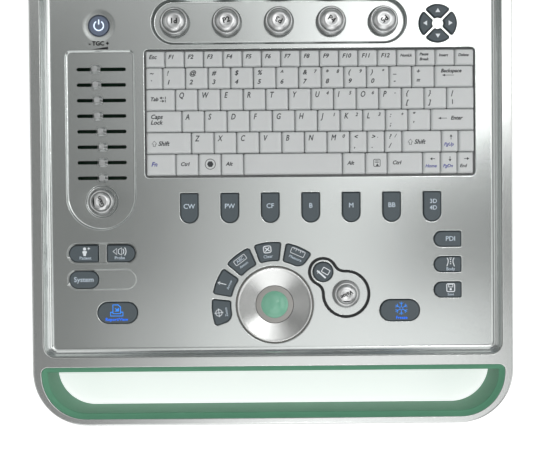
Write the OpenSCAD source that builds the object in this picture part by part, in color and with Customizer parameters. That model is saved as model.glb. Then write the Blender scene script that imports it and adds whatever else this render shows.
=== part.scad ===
// Portable ultrasound scanner, laptop form: a console with a sunk control panel, a looped carry
// handle in front and a display lid on a friction hinge behind, shown open.
// Millimetres, +Z up, handle towards -Y. The origin is on the table, under the middle of the outline.

/* [Console] */
// Width of the console
body_w = 404; // [400:1:412]
// Distance from the control panel's front edge to the rear wall
body_back = 341; // [341:1:352]
// Height of the console's rim above the table
rim_z = 58; // [58:1:62]
// Height of the joint between bottom case and frame
split_z = 34; // [34:0.5:35]
// Thickness of the case walls
wall = 3; // [2.5:0.1:3.2]
// Corner radius at the front of the handle
front_r = 46; // [44:1:50]
// Corner radius at the back of the console
rear_r = 12; // [8:1:14]
// Height of the rubber feet
foot_h = 4; // [3:0.5:5]

/* [Carry handle] */
// Distance that the handle reaches in front of the control panel
handle_reach = 58; // [56:1:66]
// Width of the silver loop beside the opening
loop_side = 7.5; // [7:0.5:9]
// Width of the silver loop in front of the opening
loop_front = 5.7; // [5:0.1:7]
// Width of the frame between the opening and the control panel
loop_back = 8.8; // [8.8:0.1:10]
// Thickness of the soft green lining
grip_t = 4.4; // [3.6:0.1:4.6]
// Height of the handle's underside above the table
loop_z = 11; // [10:1:18]

/* [Control panel] */
// Width of the panel between its parting lines
panel_w = 384; // [380:1:386]
// Depth of the panel between its parting lines
panel_d = 312; // [312:1:314]
// Depth of the panel surface below the rim
panel_sink = 8; // [7:0.5:8]
// Radius of the cove that rises from the panel to the rim
cove_r = 8; // [6:0.5:8]
// Thickness of the panel plate
plate_t = 3; // [2.5:0.1:3]

/* [Keys] */
// Height of the function keys above the panel
key_rise = 1.5; // [1:0.1:2]
// Travel of the function keys
key_travel = 1.5; // [1:0.1:1.5]
// Gap around each function key
key_gap = 0.35; // [0.3:0.05:0.45]
// Pitch of the letter keys
key_pitch = 19.05; // [19:0.01:19.1]
// Gap between neighbouring keycaps
cap_gap = 0.7; // [0.6:0.1:1]
// Gap between the keycaps and the panel round them
kb_gap = 1.3; // [0.8:0.1:1.5]
// Height of the keycaps above the panel
cap_rise = 2.5; // [2:0.1:3]

/* [Display lid] */
// Angle at which the lid stands open
open_angle = 110; // [95:1:120]
// Width of the lid
lid_w = 396; // [392:1:398]
// Depth of the lid, from its free edge to its hinge edge
lid_d = 318; // [316:1:320]
// Thickness of the lid
lid_t = 24; // [24:1:26]
// Width of the display window
window_w = 308; // [304:1:312]
// Height of the display window
window_h = 232; // [228:1:236]
// Radius of the hinge shafts
shaft_r = 4; // [3.5:0.5:4]

/* [Hidden] */
$fn = 64;
ARC_STEPS = 6;

// Control panel levels
panel_z = rim_z - panel_sink;
plate_z = panel_z - plate_t;
panel_corner = cove_r + 2;
seam = 0.3;

// Case levels and outlines
case_mid = (body_back - handle_reach) / 2;
case_depth = body_back + handle_reach;
inner_front = wall - loop_back;
boss_r = 5;
SCREWS = [for (side = [-1, 1]) for (y = [14, 165, 326]) [side * 190, y]];
FEET = [for (side = [-1, 1]) for (y = [6, 325]) [side * 170, y]];
TROLLEY = [for (side = [-1, 1]) for (end = [-1, 1]) [side * 50, 141.5 + end * 50]];

// Lid and hinge, in the closed position
hinge_y = 326;
hinge_z = rim_z + 14;
barrel_r = 12;
barrel_half = 138;
tower_in = 140;
tower_out = 190;
shaft_in = 110;
shaft_out = 180;
lid_front = 312 - lid_d;
lid_z = hinge_z - lid_t / 2;
lid_wall = 2.5;
bezel_t = 2;
window_y = 144;

// Middle of the outline with the lid open, from the handle to the lid's top edge
lid_back = hinge_y - (hinge_y - lid_front) * cos(open_angle) + lid_t / 2 * sin(open_angle);
mid_y = (lid_back - handle_reach) / 2;

// Electronics levels
board_z = 35.5;
board_t = 1.6;
board_top = board_z + board_t;
main_z = 20;
main_top = main_z + board_t;
switch_top = 40.2;
encoder_top = 41.6;
bush_top = 43.2;
shaft_end = 39;
knob_shaft_r = 3;
bush_gap = 0.08;

// Function keys: name, middle, width, depth, corner radii [right back, left back, left front, right front]
MODES = ["mode_cw", "mode_pw", "mode_cf", "mode_b", "mode_m", "mode_bb", "mode_3d"];
MODE_R = 7.6;
PANEL_KEYS = concat(
    [for (i = [0:6]) [MODES[i], [-69.9 + 34.16 * i, 124.2], 15.4, 25.5, [1.2, 1.2, MODE_R, MODE_R]]],
    [["key_pdi", [147.9, 96.7], 23.3, 13.5, [1.4, 6.7, 6.7, 1.4]],
     ["key_body", [147.9, 75.2], 23.3, 13.5, [1.4, 6.7, 6.7, 1.4]],
     ["key_save", [147.9, 53.7], 23.3, 13.5, [1.4, 6.7, 6.7, 1.4]],
     ["key_patient", [-159.3, 86.6], 25.2, 14.8, [1.4, 7.3, 7.3, 1.4]],
     ["key_probe", [-127.8, 86.6], 24.3, 14.8, [7.3, 1.4, 1.4, 7.3]],
     ["key_system", [-159.3, 64.6], 25.2, 15.4, [7.6, 7.6, 7.6, 7.6]],
     ["key_report", [-131.3, 36.4], 34.2, 18.6, [9.2, 9.2, 9.2, 9.2]],
     ["key_freeze", [107.3, 36.6], 34, 18.8, [9.3, 9.3, 9.3, 9.3]]]);

// Keys in an arc round the trackball: name, direction, corner radii as in sector()
ball_at = [1.5, 42.1];
ARC_R = [37, 53.1];
ARC_HALF = 13;
ARC_KEYS = [
    ["key_zoom", 187, [2.2, 8, 2.2, 2.2]],
    ["key_arrow", 156.8, [2.2, 2.2, 2.2, 2.2]],
    ["key_annotate", 126.6, [2.2, 2.2, 2.2, 2.2]],
    ["key_clear", 96.4, [2.2, 2.2, 2.2, 2.2]],
    ["key_measure", 66.4, [2.2, 2.2, 8, 2.2]]];

// Arrow keys: name and direction from the middle of the pad
pad_at = [140.6, 278.3];
PAD_R = [3.4, 14.2];
pad_step = 1.77;
PAD_KEYS = [["arrow_right", 0], ["arrow_up", 90], ["arrow_left", 180], ["arrow_down", 270]];

// Round keys: name, middle, radius, top above the panel
ROUND_KEYS = [["power_button", [-144.6, 278.4], 8.9, 0.3], ["key_cursor", [42.5, 69.6], 8.6, key_rise]];
DIMPLE = [13.5, 9.6, 1.4];

// Knobs: name, middle, skirt radius, cap radius, underside and top heights
P_STRIP = [[7, 281.2], 215, 38];
strip_sink = 4.5;
KNOBS = concat(
    [for (i = [0:4]) [str("knob_p", i + 1), [7 + 44 * (i - 2), 281.2], 13, 11.2, panel_z - 3.8, panel_z + 7]],
    [["gain_knob", [-143.5, 130.4], 11.5, 9.6, panel_z - 1.1, panel_z + 7],
     ["value_knob", [62, 50.8], 12, 9.8, panel_z + 0.5, panel_z + 7.2]]);

// Sliders: places of the eight slots and where each slider stands along its slot
TGC_POCKET = [[-144, 182], 58.6, 151];
pocket_sink = 1.6;
tgc_x = -143.3;
TGC_Y = [for (i = [0:7]) 241.9 - 13.09 * i];
TGC_OFF = [-4.8, -4.2, -3.1, -3, -0.3, 0.5, 0.6, 0.6];
TGC_SLOT = [41, 2.4];

// Keyboard opening, and the width of every key in its six rows from the back
KB_MID = [32.6, 204.1];
KB_W = 276;
KB_D = 105.4;
fn_depth = 13.8;
row_depth = 18.15;
ROWS = [
    [for (i = [0:16]) 16.24],
    concat([14.3], [for (i = [0:11]) key_pitch], [32.6]),
    concat([24.6], [for (i = [0:11]) key_pitch], [23]),
    concat([30], [for (i = [0:10]) key_pitch], [36.6]),
    concat([37.9], [for (i = [0:6]) key_pitch], [14.7, 14.7, 14.7, 33.2, 14.2, 13.6]),
    [24.6, 19.2, 19, 19, 83.2, 19.3, 18.5, 29.9, 14.9, 14.2, 13.6]];
KEYCAPS = [for (r = [0:5]) for (i = [0:len(ROWS[r]) - 1]) keycap_at(r, i)];

// Trackball and its dished ring
ball_r = 19;
ball_z = panel_z - 17;
ring_r = 32.6;
ring_hole = 12.2;
socket_r = 24;

// Rear ports: middle, width and height on the rear wall
PORTS = [[30, 15, 7], [54, 15, 7], [80, 17, 10], [112, 32, 10], [150, 12, 10]];
port_front = 296;
// Screened blocks on the main board: left, front, width, depth, height
CHIPS = [[-150, 200, 46, 46, 6], [-70, 180, 60, 60, 9], [40, 190, 34, 34, 5], [110, 170, 40, 70, 8]];
// Probe sockets: middles, outer width, height and depth, and the recess in each
PROBE_X = [-119, -49];
PROBE = [62, 22, 29];
PROBE_RECESS = [52, 14, 12];
probe_z = 21;

// ---- Outlines ----

function sum(v, n, i = 0) = i >= n ? 0 : v[i] + sum(v, n, i + 1);

function arc(c, r, a0, a1, n = ARC_STEPS) =
    [for (i = [0:n]) c + r * [cos(a0 + (a1 - a0) * i / n), sin(a0 + (a1 - a0) * i / n)]];

// The points of an arc without its two ends
function inner_arc(r, a0, a1, n = ARC_STEPS) =
    [for (i = [1:n - 1]) r * [cos(a0 + (a1 - a0) * i / n), sin(a0 + (a1 - a0) * i / n)]];

// Rectangle with four corner radii [right back, left back, left front, right front], grown by g
function rounded(c, w, h, r, g = 0, n = ARC_STEPS) = concat(
    arc(c + [w / 2 - r[0], h / 2 - r[0]], r[0] + g, 0, 90, n),
    arc(c + [r[1] - w / 2, h / 2 - r[1]], r[1] + g, 90, 180, n),
    arc(c + [r[2] - w / 2, r[2] - h / 2], r[2] + g, 180, 270, n),
    arc(c + [w / 2 - r[3], r[3] - h / 2], r[3] + g, 270, 360, n));

// Sector of a ring along +X with corner radii [outer left, inner left, inner right, outer right]
function sector(ri, ro, half, rc, g = 0) =
    let (
        reach = [ro - rc[0], ri + rc[1], ri + rc[2], ro - rc[3]],
        a = [for (i = [0:3]) half - asin(rc[i] / reach[i])],
        c = [for (i = [0:3]) reach[i] * [cos(a[i]), (i < 2 ? 1 : -1) * sin(a[i])]])
    concat(
        inner_arc(ro + g, -a[3], a[0]),
        arc(c[0], rc[0] + g, a[0], half + 90),
        arc(c[1], rc[1] + g, half + 90, a[1] + 180),
        inner_arc(ri - g, a[1], -a[2]),
        arc(c[2], rc[2] + g, 180 - a[2], 270 - half),
        arc(c[3], rc[3] + g, 270 - half, 360 - a[3]));

// Middle and size of key i in row r: [middle, width, depth]
function keycap_at(r, i) =
    let (
        w = ROWS[r][i],
        d = r == 0 ? fn_depth : row_depth,
        x = KB_MID.x - KB_W / 2 + sum(ROWS[r], i) + w / 2,
        y = KB_MID.y + KB_D / 2 - 0.4 - (r == 0 ? d / 2 : fn_depth + (r - 0.5) * row_depth))
    [[x, y], w - cap_gap, d - cap_gap];

function panel_outline(g = 0) =
    rounded([0, panel_d / 2], panel_w, panel_d, [for (i = [0:3]) panel_corner], g);

function grip_outline(g = 0) =
    let (d = handle_reach - loop_front - loop_back)
    rounded([0, -loop_back - d / 2], body_w - 2 * loop_side, d, [5, 5, d - 6, d - 6], g, 10);

function cavity_outline() =
    rounded([0, (body_back - wall + inner_front) / 2], body_w - 2 * wall, body_back - wall - inner_front,
        [rear_r - wall, rear_r - wall, 2, 2]);

function case_outline() =
    rounded([0, case_mid], body_w, case_depth, [rear_r, rear_r, front_r, front_r], 0, 10);

function lid_outline(g = 0) =
    rounded([0, lid_front + lid_d / 2], lid_w, lid_d, [6, 6, 16, 16], g);

// ---- Shared shapes ----

module place() {
    translate([0, -mid_y, 0]) children();
}

module slab(z0, z1) {
    translate([0, 0, z0]) linear_extrude(z1 - z0) children();
}

module at(p) {
    translate([p.x, p.y, 0]) children();
}

// Upright or lying cylinder between two heights, or along X
module post(z0, z1, r) {
    translate([0, 0, z0]) cylinder(h = z1 - z0, r = r);
}

module bar_x(x0, x1, r) {
    translate([x0, hinge_y, hinge_z]) rotate([0, 90, 0]) cylinder(h = x1 - x0, r = r);
}

// Solid through a stack of outlines [points, height] with equal point counts
module loft(rings) {
    n = len(rings[0][0]);
    m = len(rings);
    polyhedron(
        points = [for (ring = rings) for (p = ring[0]) [p.x, p.y, ring[1]]],
        faces = concat(
            [[for (i = [0:n - 1]) i]],
            [for (k = [0:m - 2]) for (i = [0:n - 1])
                [k * n + i, (k + 1) * n + i, (k + 1) * n + (i + 1) % n, k * n + (i + 1) % n]],
            [[for (i = [n - 1:-1:0]) (m - 1) * n + i]]));
}

// Moves the closed lid to its open angle
module opened() {
    translate([0, hinge_y, hinge_z]) rotate([-open_angle, 0, 0]) translate([0, -hinge_y, -hinge_z])
        children();
}

// ---- Case ----

module case_frame() {
    color("silver") place() difference() {
        union() {
            difference() {
                slab(split_z, rim_z) polygon(case_outline());
                slab(split_z - 1, rim_z - wall) polygon(cavity_outline());
                slab(split_z - 1, rim_z + 1) polygon(grip_outline());
                slab(rim_z - wall - 1, rim_z + 1) polygon(panel_outline(seam));
            }
            slab(plate_z - 3, rim_z - wall) difference() {
                polygon(panel_outline(seam + 2.2));
                polygon(panel_outline(seam));
            }
            slab(plate_z - 3, plate_z) difference() {
                polygon(panel_outline(seam + 1));
                polygon(panel_outline(-4));
            }
            for (p = SCREWS) at(p) post(split_z, p.y > panel_d ? rim_z - wall : plate_z - 3, boss_r);
            for (side = [-1, 1]) hinge_tower(side);
        }
        for (p = SCREWS) at(p) post(split_z - 1, plate_z - 4, 1.55);
        for (side = [-1, 1]) {
            bar_x(side < 0 ? -shaft_out - 2 : tower_in - 1, side < 0 ? 1 - tower_in : shaft_out + 2,
                shaft_r + 0.02);
        }
    }
}

module hinge_tower(side) {
    x0 = side < 0 ? -tower_out : tower_in;
    bar_x(x0, x0 + tower_out - tower_in, barrel_r);
    translate([x0, hinge_y - barrel_r, rim_z - 1])
        cube([tower_out - tower_in, 2 * barrel_r, hinge_z - rim_z + 1]);
}

module bottom_case() {
    color("silver") place() difference() {
        union() {
            difference() {
                slab(foot_h, split_z) polygon(rounded([0, (body_back - loop_back) / 2], body_w,
                    body_back + loop_back, [rear_r, rear_r, 1, 1]));
                slab(foot_h + wall, split_z + 1) polygon(cavity_outline());
            }
            slab(loop_z, split_z) difference() {
                polygon(case_outline());
                polygon(grip_outline());
                translate([-body_w, 1 - loop_back]) square([2 * body_w, 2 * body_back]);
            }
            for (p = SCREWS) at(p) post(foot_h + 1, split_z, boss_r);
            for (p = TROLLEY) at(p) post(foot_h + 1, foot_h + 12, 6);
        }
        for (p = SCREWS) at(p) {
            post(foot_h - 1, foot_h + 6, 3.2);
            post(foot_h + 5, split_z + 1, 1.6);
        }
        for (p = TROLLEY) at(p) post(foot_h - 1, foot_h + 10, 2.1);
        for (x = PROBE_X) rear_cutout(x, probe_z, PROBE.x + 0.6, PROBE.y + 0.6);
        for (p = PORTS) rear_cutout(p[0], main_top + p[2] / 2, p[1] + 0.8, p[2] + 0.8);
        for (side = [-1, 1]) for (i = [0:9]) {
            translate([side * body_w / 2, 170 + 9 * i, 18]) cube([4 * wall, 3, 14], center = true);
        }
    }
}

module rear_cutout(x, z, w, h) {
    translate([x, body_back, z]) cube([w, 4 * wall, h], center = true);
}

module handle_grip() {
    chamfer = grip_t - 0.4;
    color("mediumseagreen") place() difference() {
        slab(loop_z, rim_z) polygon(grip_outline());
        slab(loop_z - 1, rim_z + 1) polygon(grip_outline(-grip_t));
        loft([[grip_outline(-grip_t - 0.1), rim_z - chamfer - 0.1], [grip_outline(-0.4), rim_z],
            [grip_outline(-0.4), rim_z + 1]]);
        loft([[grip_outline(-0.4), loop_z - 1], [grip_outline(-0.4), loop_z],
            [grip_outline(-grip_t - 0.1), loop_z + chamfer + 0.1]]);
    }
}

module control_panel() {
    color([0.75, 0.77, 0.77]) place() difference() {
        union() {
            slab(plate_z, rim_z) polygon(panel_outline());
            slab(plate_z - 3.5, plate_z) stadium(P_STRIP, 2);
            for (p = [[-100, 20], [-100, 132], [85, 90], [168, 125], [172, 22], [-176, 200],
                [-112, 285], [122, 298]]) at(p) post(board_top, plate_z, 3);
        }
        panel_hollow();
        translate([0, 0, panel_z - strip_sink]) linear_extrude(20) stadium(P_STRIP, 0);
        slab(panel_z - pocket_sink, panel_z + 1)
            polygon(rounded(TGC_POCKET[0], TGC_POCKET[1], TGC_POCKET[2], [5, 5, 29.2, 29.2]));
        slab(plate_z - 1, panel_z + 1) {
            polygon(rounded(KB_MID, KB_W, KB_D, [1.5, 1.5, 1.5, 1.5], kb_gap));
            for (k = PANEL_KEYS) polygon(rounded(k[1], k[2], k[3], k[4], key_gap));
            for (k = ARC_KEYS) arc_key_at(k) polygon(sector(ARC_R[0], ARC_R[1], ARC_HALF, k[2], key_gap));
            for (k = PAD_KEYS) pad_key_at(k) polygon(pad_key_outline(key_gap));
            for (y = TGC_Y) polygon(rounded([tgc_x, y], TGC_SLOT.x, TGC_SLOT.y, [1.1, 1.1, 1.1, 1.1]));
        }
        for (k = ROUND_KEYS) at(k[1]) post(plate_z - 1, panel_z + 1, k[2] + key_gap);
        at(ROUND_KEYS[0][1]) translate([0, 0, panel_z - DIMPLE[2]])
            cylinder(h = DIMPLE[2] + 0.01, r1 = DIMPLE[1], r2 = DIMPLE[0]);
        for (k = KNOBS) at(k[1]) post(plate_z - 5, panel_z + 1, knob_shaft_r + 0.8);
        at(ball_at) post(plate_z - 1, panel_z + 1, ring_r + 0.15);
    }
}

// The space above the panel surface, with its coved edge
module panel_hollow() {
    steps = 8;
    loft(concat(
        [for (i = [0:steps]) let (a = 90 * i / steps)
            [panel_outline(-cove_r * (1 - sin(a)) - 0.01), rim_z - panel_sink + cove_r * (1 - cos(a))]],
        [[panel_outline(-0.01), rim_z + 1]]));
}

module stadium(s, g) {
    r = s[2] / 2 - 0.1;
    polygon(rounded(s[0], s[1], s[2], [r, r, r, r], g, 10));
}

module rubber_feet() {
    color("dimgray") place() for (p = FEET) at(p) post(0, foot_h, 9);
}

module case_screws() {
    color("gray") place() for (p = SCREWS) at(p) {
        post(foot_h + 3, foot_h + 6, 2.8);
        post(foot_h + 6, plate_z - 5, 1.5);
    }
}

module hinge_shafts() {
    color("lightsteelblue") place() for (side = [-1, 1]) {
        bar_x(side < 0 ? -shaft_out : shaft_in, side < 0 ? -shaft_in : shaft_out, shaft_r);
    }
}

// ---- Inside the console ----

module control_board() {
    color("darkgreen") place() {
        slab(board_z, board_top) difference() {
            union() {
                translate([-182, 12]) square([360, 135]);
                translate([-182, 147]) square([71, 158]);
                translate([-111, 263]) square([289, 42]);
            }
            translate(ball_at) circle(r = socket_r + 1);
        }
        for (k = PANEL_KEYS) tact_switch(k[1]);
        for (k = ROUND_KEYS) tact_switch(k[1]);
        for (k = ARC_KEYS) tact_switch(ball_at + (ARC_R[0] + ARC_R[1]) / 2 * [cos(k[1]), sin(k[1])]);
        for (k = PAD_KEYS) tact_switch(pad_at + 10 * [cos(k[1]), sin(k[1])]);
        for (k = KNOBS) encoder(k[1]);
        for (y = TGC_Y) slide_pot(y);
    }
}

module tact_switch(p) {
    at(p) translate([-3, -3, board_top]) cube([6, 6, switch_top - board_top]);
}

module encoder(p) {
    at(p) difference() {
        union() {
            translate([-6, -6, board_top]) cube([12, 12, encoder_top - board_top]);
            post(encoder_top - 1, bush_top, 4.6);
        }
        post(shaft_end - 0.5, bush_top + 1, knob_shaft_r + bush_gap);
    }
}

module slide_pot(y) {
    difference() {
        translate([tgc_x - 23, y - 3.5, board_top]) cube([46, 7, switch_top - board_top]);
        translate([tgc_x - 20.6, y - 1.3, switch_top - 2]) cube([41.2, 2.6, 3]);
    }
}

module main_board() {
    color("seagreen") place() {
        translate([-180, 150, main_z]) cube([360, 158, board_t]);
        for (x = [-172, 172]) for (y = [158, 300]) at([x, y]) post(foot_h + wall, main_z, 3);
        for (c = CHIPS) translate([c[0], c[1], main_top]) cube([c[2], c[3], c[4]]);
        for (p = PORTS) translate([p[0] - p[1] / 2, port_front, main_top])
            cube([p[1], body_back - 0.5 - port_front, p[2]]);
    }
}

module battery_pack() {
    color([0.2, 0.2, 0.22]) place()
        slab(foot_h + wall + 1, foot_h + wall + 21) polygon(rounded([122, 70], 120, 130, [4, 4, 4, 4]));
}

module probe_sockets() {
    color([0.25, 0.26, 0.28]) place() for (x = PROBE_X) difference() {
        translate([x - PROBE.x / 2, body_back - PROBE.z, probe_z - PROBE.y / 2])
            cube([PROBE.x, PROBE.z, PROBE.y]);
        translate([x - PROBE_RECESS.x / 2, body_back - PROBE_RECESS.z, probe_z - PROBE_RECESS.y / 2])
            cube([PROBE_RECESS.x, PROBE_RECESS.z + 1, PROBE_RECESS.y]);
    }
}

module trackball_socket() {
    color([0.3, 0.31, 0.33]) place() at(ball_at) difference() {
        union() {
            post(ball_z - ball_r - 2, panel_z - 6, socket_r);
            post(foot_h + wall, ball_z - ball_r - 1, 8);
        }
        translate([0, 0, ball_z]) sphere(r = ball_r + 0.5);
        post(ball_z, panel_z, ball_r + 0.5);
    }
}

// ---- Trackball ----

module trackball_ring() {
    outer = [[ring_r + 1.6, plate_z - 2], [ring_r + 1.6, plate_z - 0.1], [ring_r, plate_z - 0.1],
        [ring_r, panel_z + 1]];
    dish = [for (i = [0:10]) let (t = i / 10)
        [ring_r - 0.9 - (ring_r - 17) * t, panel_z + 1 - 3 * (1 - pow(1 - t, 2))]];
    inner = [[ring_hole, panel_z - 2], [ring_hole + 0.5, panel_z - 2.6], [16, plate_z - 1.6],
        [ring_r - 2, plate_z - 2]];
    color("silver") place() at(ball_at) rotate_extrude() polygon(concat(outer, dish, inner));
}

module trackball_ball() {
    color([0.53, 0.79, 0.67]) place() at(ball_at) translate([0, 0, ball_z]) sphere(r = ball_r);
}

// ---- Keys ----

// Cap above a retaining flange that stays under the panel, and a plunger over its switch
module key_solid(top, plunger_at) {
    slab(plate_z - 1.6, top) children(0);
    slab(plate_z - 1.6, plate_z - 0.1) children(1);
    at(plunger_at) post(switch_top + key_travel + 0.2, plate_z - 1.5, 2);
}

module panel_key(k) {
    color([0.38, 0.42, 0.45]) place() key_solid(panel_z + key_rise, k[1]) {
        polygon(rounded(k[1], k[2], k[3], k[4]));
        polygon(rounded(k[1], k[2], k[3], k[4], 0.8));
    }
}

module arc_key_at(k) {
    translate(ball_at) rotate(k[1]) children();
}

module arc_key(k) {
    mid_r = (ARC_R[0] + ARC_R[1]) / 2;
    color([0.38, 0.42, 0.45]) place()
        key_solid(panel_z + key_rise, ball_at + mid_r * [cos(k[1]), sin(k[1])]) {
            arc_key_at(k) polygon(sector(ARC_R[0], ARC_R[1], ARC_HALF, k[2]));
            arc_key_at(k) polygon(sector(ARC_R[0], ARC_R[1], ARC_HALF, k[2], 0.8));
        }
}

function pad_key_outline(g = 0) = sector(PAD_R[0], PAD_R[1], 45, [1.4, 1, 1, 1.4], g);

module pad_key_at(k) {
    translate(pad_at + pad_step * [cos(k[1]), sin(k[1])]) rotate(k[1]) children();
}

module pad_key(k) {
    color([0.38, 0.42, 0.45]) place()
        key_solid(panel_z + key_rise, pad_at + 10 * [cos(k[1]), sin(k[1])]) {
            pad_key_at(k) polygon(pad_key_outline());
            pad_key_at(k) polygon(pad_key_outline(0.7));
        }
}

module round_key(k) {
    color(k[0] == "power_button" ? [0.45, 0.5, 0.58] : [0.38, 0.42, 0.45]) place()
        key_solid(panel_z + k[3], k[1]) {
            translate(k[1]) circle(r = k[2]);
            translate(k[1]) circle(r = k[2] + 0.8);
        }
}

module keyboard_keys() {
    bottom = panel_z - 3.5;
    color([0.8, 0.81, 0.82]) place() for (k = KEYCAPS) {
        slab(bottom, panel_z + cap_rise - 2) polygon(rounded(k[0], k[1], k[2], [1, 1, 1, 1], 0, 3));
        slab(panel_z + cap_rise - 2, panel_z + cap_rise)
            polygon(rounded(k[0], k[1] - 2.4, k[2] - 2.4, [1.2, 1.2, 1.2, 1.2], 0, 3));
    }
}

module keyboard_frame() {
    color([0.6, 0.61, 0.62]) place() {
        slab(panel_z - 8, panel_z - 6.5) polygon(rounded(KB_MID, KB_W, KB_D, [1.5, 1.5, 1.5, 1.5], 3));
        slab(panel_z - 6.5, plate_z) difference() {
            polygon(rounded(KB_MID, KB_W, KB_D, [1.5, 1.5, 1.5, 1.5], 3));
            polygon(rounded(KB_MID, KB_W, KB_D, [1.5, 1.5, 1.5, 1.5], kb_gap));
        }
    }
}

// ---- Knobs and sliders ----

// Skirt under a beaded, domed cap with a dished top, on a shaft that turns in its encoder
module knob(k) {
    skirt_top = k[4] + (k[5] - k[4]) * 0.4;
    bead = 0.6;
    bead_z = k[5] - 2.2;
    dome_r = k[3] - 1.7;
    color("silver") place() at(k[1]) {
        post(shaft_end, k[4] + 1, knob_shaft_r);
        rotate_extrude() polygon(concat(
            [[0, k[4]], [k[2], k[4]], [k[2] - 0.4, skirt_top], [k[3], skirt_top + 0.4]],
            arc([k[3] - bead, bead_z - bead], bead, 0, 150),
            [for (i = [0:6]) [dome_r * (1 - 0.3 * (1 - cos(15 * i))), bead_z - 0.3 + (k[5] - bead_z + 0.3) * sin(15 * i)]],
            [[0.4 * dome_r, k[5] - 0.4], [0, k[5] - 0.5]]));
    }
}

module tgc_slider(i) {
    x = tgc_x + TGC_OFF[i - 1];
    y = TGC_Y[i - 1];
    floor_z = panel_z - pocket_sink;
    color("silver") place() {
        translate([x - 2, y - 0.9, switch_top - 1.5]) cube([4, 1.8, floor_z - switch_top + 2.6]);
        loft([
            [rounded([x, y], 9, 8.6, [2, 2, 2, 2], 0, 3), floor_z + 0.5],
            [rounded([x, y], 9, 8.6, [2, 2, 2, 2], 0, 3), floor_z + 1.4],
            [rounded([x, y], 5.4, 6.6, [1.5, 1.5, 1.5, 1.5], 0, 3), panel_z + 4]]);
    }
}

// ---- Display lid ----

module lid_cover() {
    color("silver") place() opened() difference() {
        union() {
            difference() {
                slab(lid_z + bezel_t, lid_z + lid_t) polygon(lid_outline());
                slab(lid_z + bezel_t - 1, lid_z + lid_t - lid_wall) polygon(lid_outline(-lid_wall));
            }
            bar_x(-barrel_half, barrel_half, barrel_r);
            translate([3 - barrel_half, 311, hinge_z - 4]) cube([2 * barrel_half - 6, 10, 8]);
        }
        for (side = [-1, 1]) {
            bar_x(side < 0 ? -barrel_half - 1 : shaft_in - 2, side < 0 ? 2 - shaft_in : barrel_half + 1,
                shaft_r + 0.06);
        }
    }
}

module lid_bezel() {
    color([0.25, 0.27, 0.29]) place() opened() slab(lid_z, lid_z + bezel_t) difference() {
        polygon(lid_outline());
        polygon(rounded([0, window_y], window_w, window_h, [2, 2, 2, 2]));
        for (side = [-1, 1]) for (i = [0:11]) {
            polygon(rounded([side * (100 + 5 * i), 284], 2, 20, [0.9, 0.9, 0.9, 0.9], 0, 3));
        }
    }
}

module lcd_module() {
    color([0.1, 0.12, 0.15]) place() opened()
        slab(lid_z + bezel_t, lid_z + bezel_t + 9)
            polygon(rounded([0, window_y], window_w + 18, window_h + 22, [2, 2, 2, 2]));
}

case_frame();
control_panel();
bottom_case();
handle_grip();
keyboard_frame();
trackball_ring();
trackball_socket();
control_board();
main_board();
battery_pack();
probe_sockets();
hinge_shafts();
rubber_feet();
case_screws();
lid_cover();
lid_bezel();
lcd_module();
keyboard_keys();
trackball_ball();
for (k = PANEL_KEYS) panel_key(k);
for (k = ARC_KEYS) arc_key(k);
for (k = PAD_KEYS) pad_key(k);
for (k = ROUND_KEYS) round_key(k);
for (k = KNOBS) knob(k);
for (i = [1:8]) tgc_slider(i);
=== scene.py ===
"""Looks of the ultrasound scanner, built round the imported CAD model.

Lengths are millimetres in the console's own frame: x from its centreline, y from the front edge of
the control panel, z from the table. The lid is drawn closed and then turned to its open angle.
"""

import math

import bmesh
import bpy
from mathutils import Matrix, Vector


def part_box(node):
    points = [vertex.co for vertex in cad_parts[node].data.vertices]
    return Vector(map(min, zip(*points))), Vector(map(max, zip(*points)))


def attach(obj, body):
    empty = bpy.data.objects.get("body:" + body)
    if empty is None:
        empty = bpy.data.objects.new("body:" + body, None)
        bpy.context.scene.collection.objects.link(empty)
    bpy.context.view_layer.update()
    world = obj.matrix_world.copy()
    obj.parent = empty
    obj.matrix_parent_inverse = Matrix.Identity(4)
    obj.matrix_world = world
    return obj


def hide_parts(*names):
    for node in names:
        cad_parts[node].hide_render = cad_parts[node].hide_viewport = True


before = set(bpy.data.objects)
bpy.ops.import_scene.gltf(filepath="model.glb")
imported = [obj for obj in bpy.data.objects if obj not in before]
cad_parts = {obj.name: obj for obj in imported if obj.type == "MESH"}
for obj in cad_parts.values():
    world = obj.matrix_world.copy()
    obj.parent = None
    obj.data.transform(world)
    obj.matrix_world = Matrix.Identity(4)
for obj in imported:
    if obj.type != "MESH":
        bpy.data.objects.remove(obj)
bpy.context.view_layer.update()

MM = 0.001
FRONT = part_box("control_panel")[0][1]
TO_ROW = Matrix.Translation((0, FRONT, 0)) @ Matrix.Scale(MM, 4)

# Levels and driving sizes
PANEL_Z = 50.0
RIM_Z = 58.0
PLATE_Z = 47.0
SPLIT_Z = 34.0
BOTTOM_TOP = 33.8
STRIP_Z = PANEL_Z - 4.5
POCKET_Z = PANEL_Z - 1.6
DISH_Z = PANEL_Z - 2.2
KNOB_TOP = PANEL_Z + 7
SEAM = 0.3
REAR = 341.0
HALF_WIDTH = 202.0
LOOP_Z = 11.0
LINING = 4.4
LIP = 3.4
BALL = (1.5, 42.1)
BALL_R = 19.0
BALL_Z = PANEL_Z - 17
RING_R = 32.6
BEZEL_R = 16.2
SHAFT_R = 3.8
PAD = (140.6, 278.3)
POWER = (-144.6, 278.4)
VALUE = (62.0, 50.8)
CURSOR = (42.5, 69.6)
GAIN = (-143.5, 130.4)
STRIP = (7.0, 281.2, 215.0, 38.0)
POCKET = (-144.0, 182.0, 58.6, 151.0)
KEYBOARD = (32.6, 204.1, 276.0, 105.4)
SLOT_X = -143.3
SLOT_YS = [241.9 - 13.09 * i for i in range(8)]
LID_ANGLE = 110.0
LID_LOW, LID_SPLIT, LID_TOP = 60.0, 62.05, 84.0
SCREEN_Y = 144.0
HINGE = (326.0, 72.0)
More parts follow.
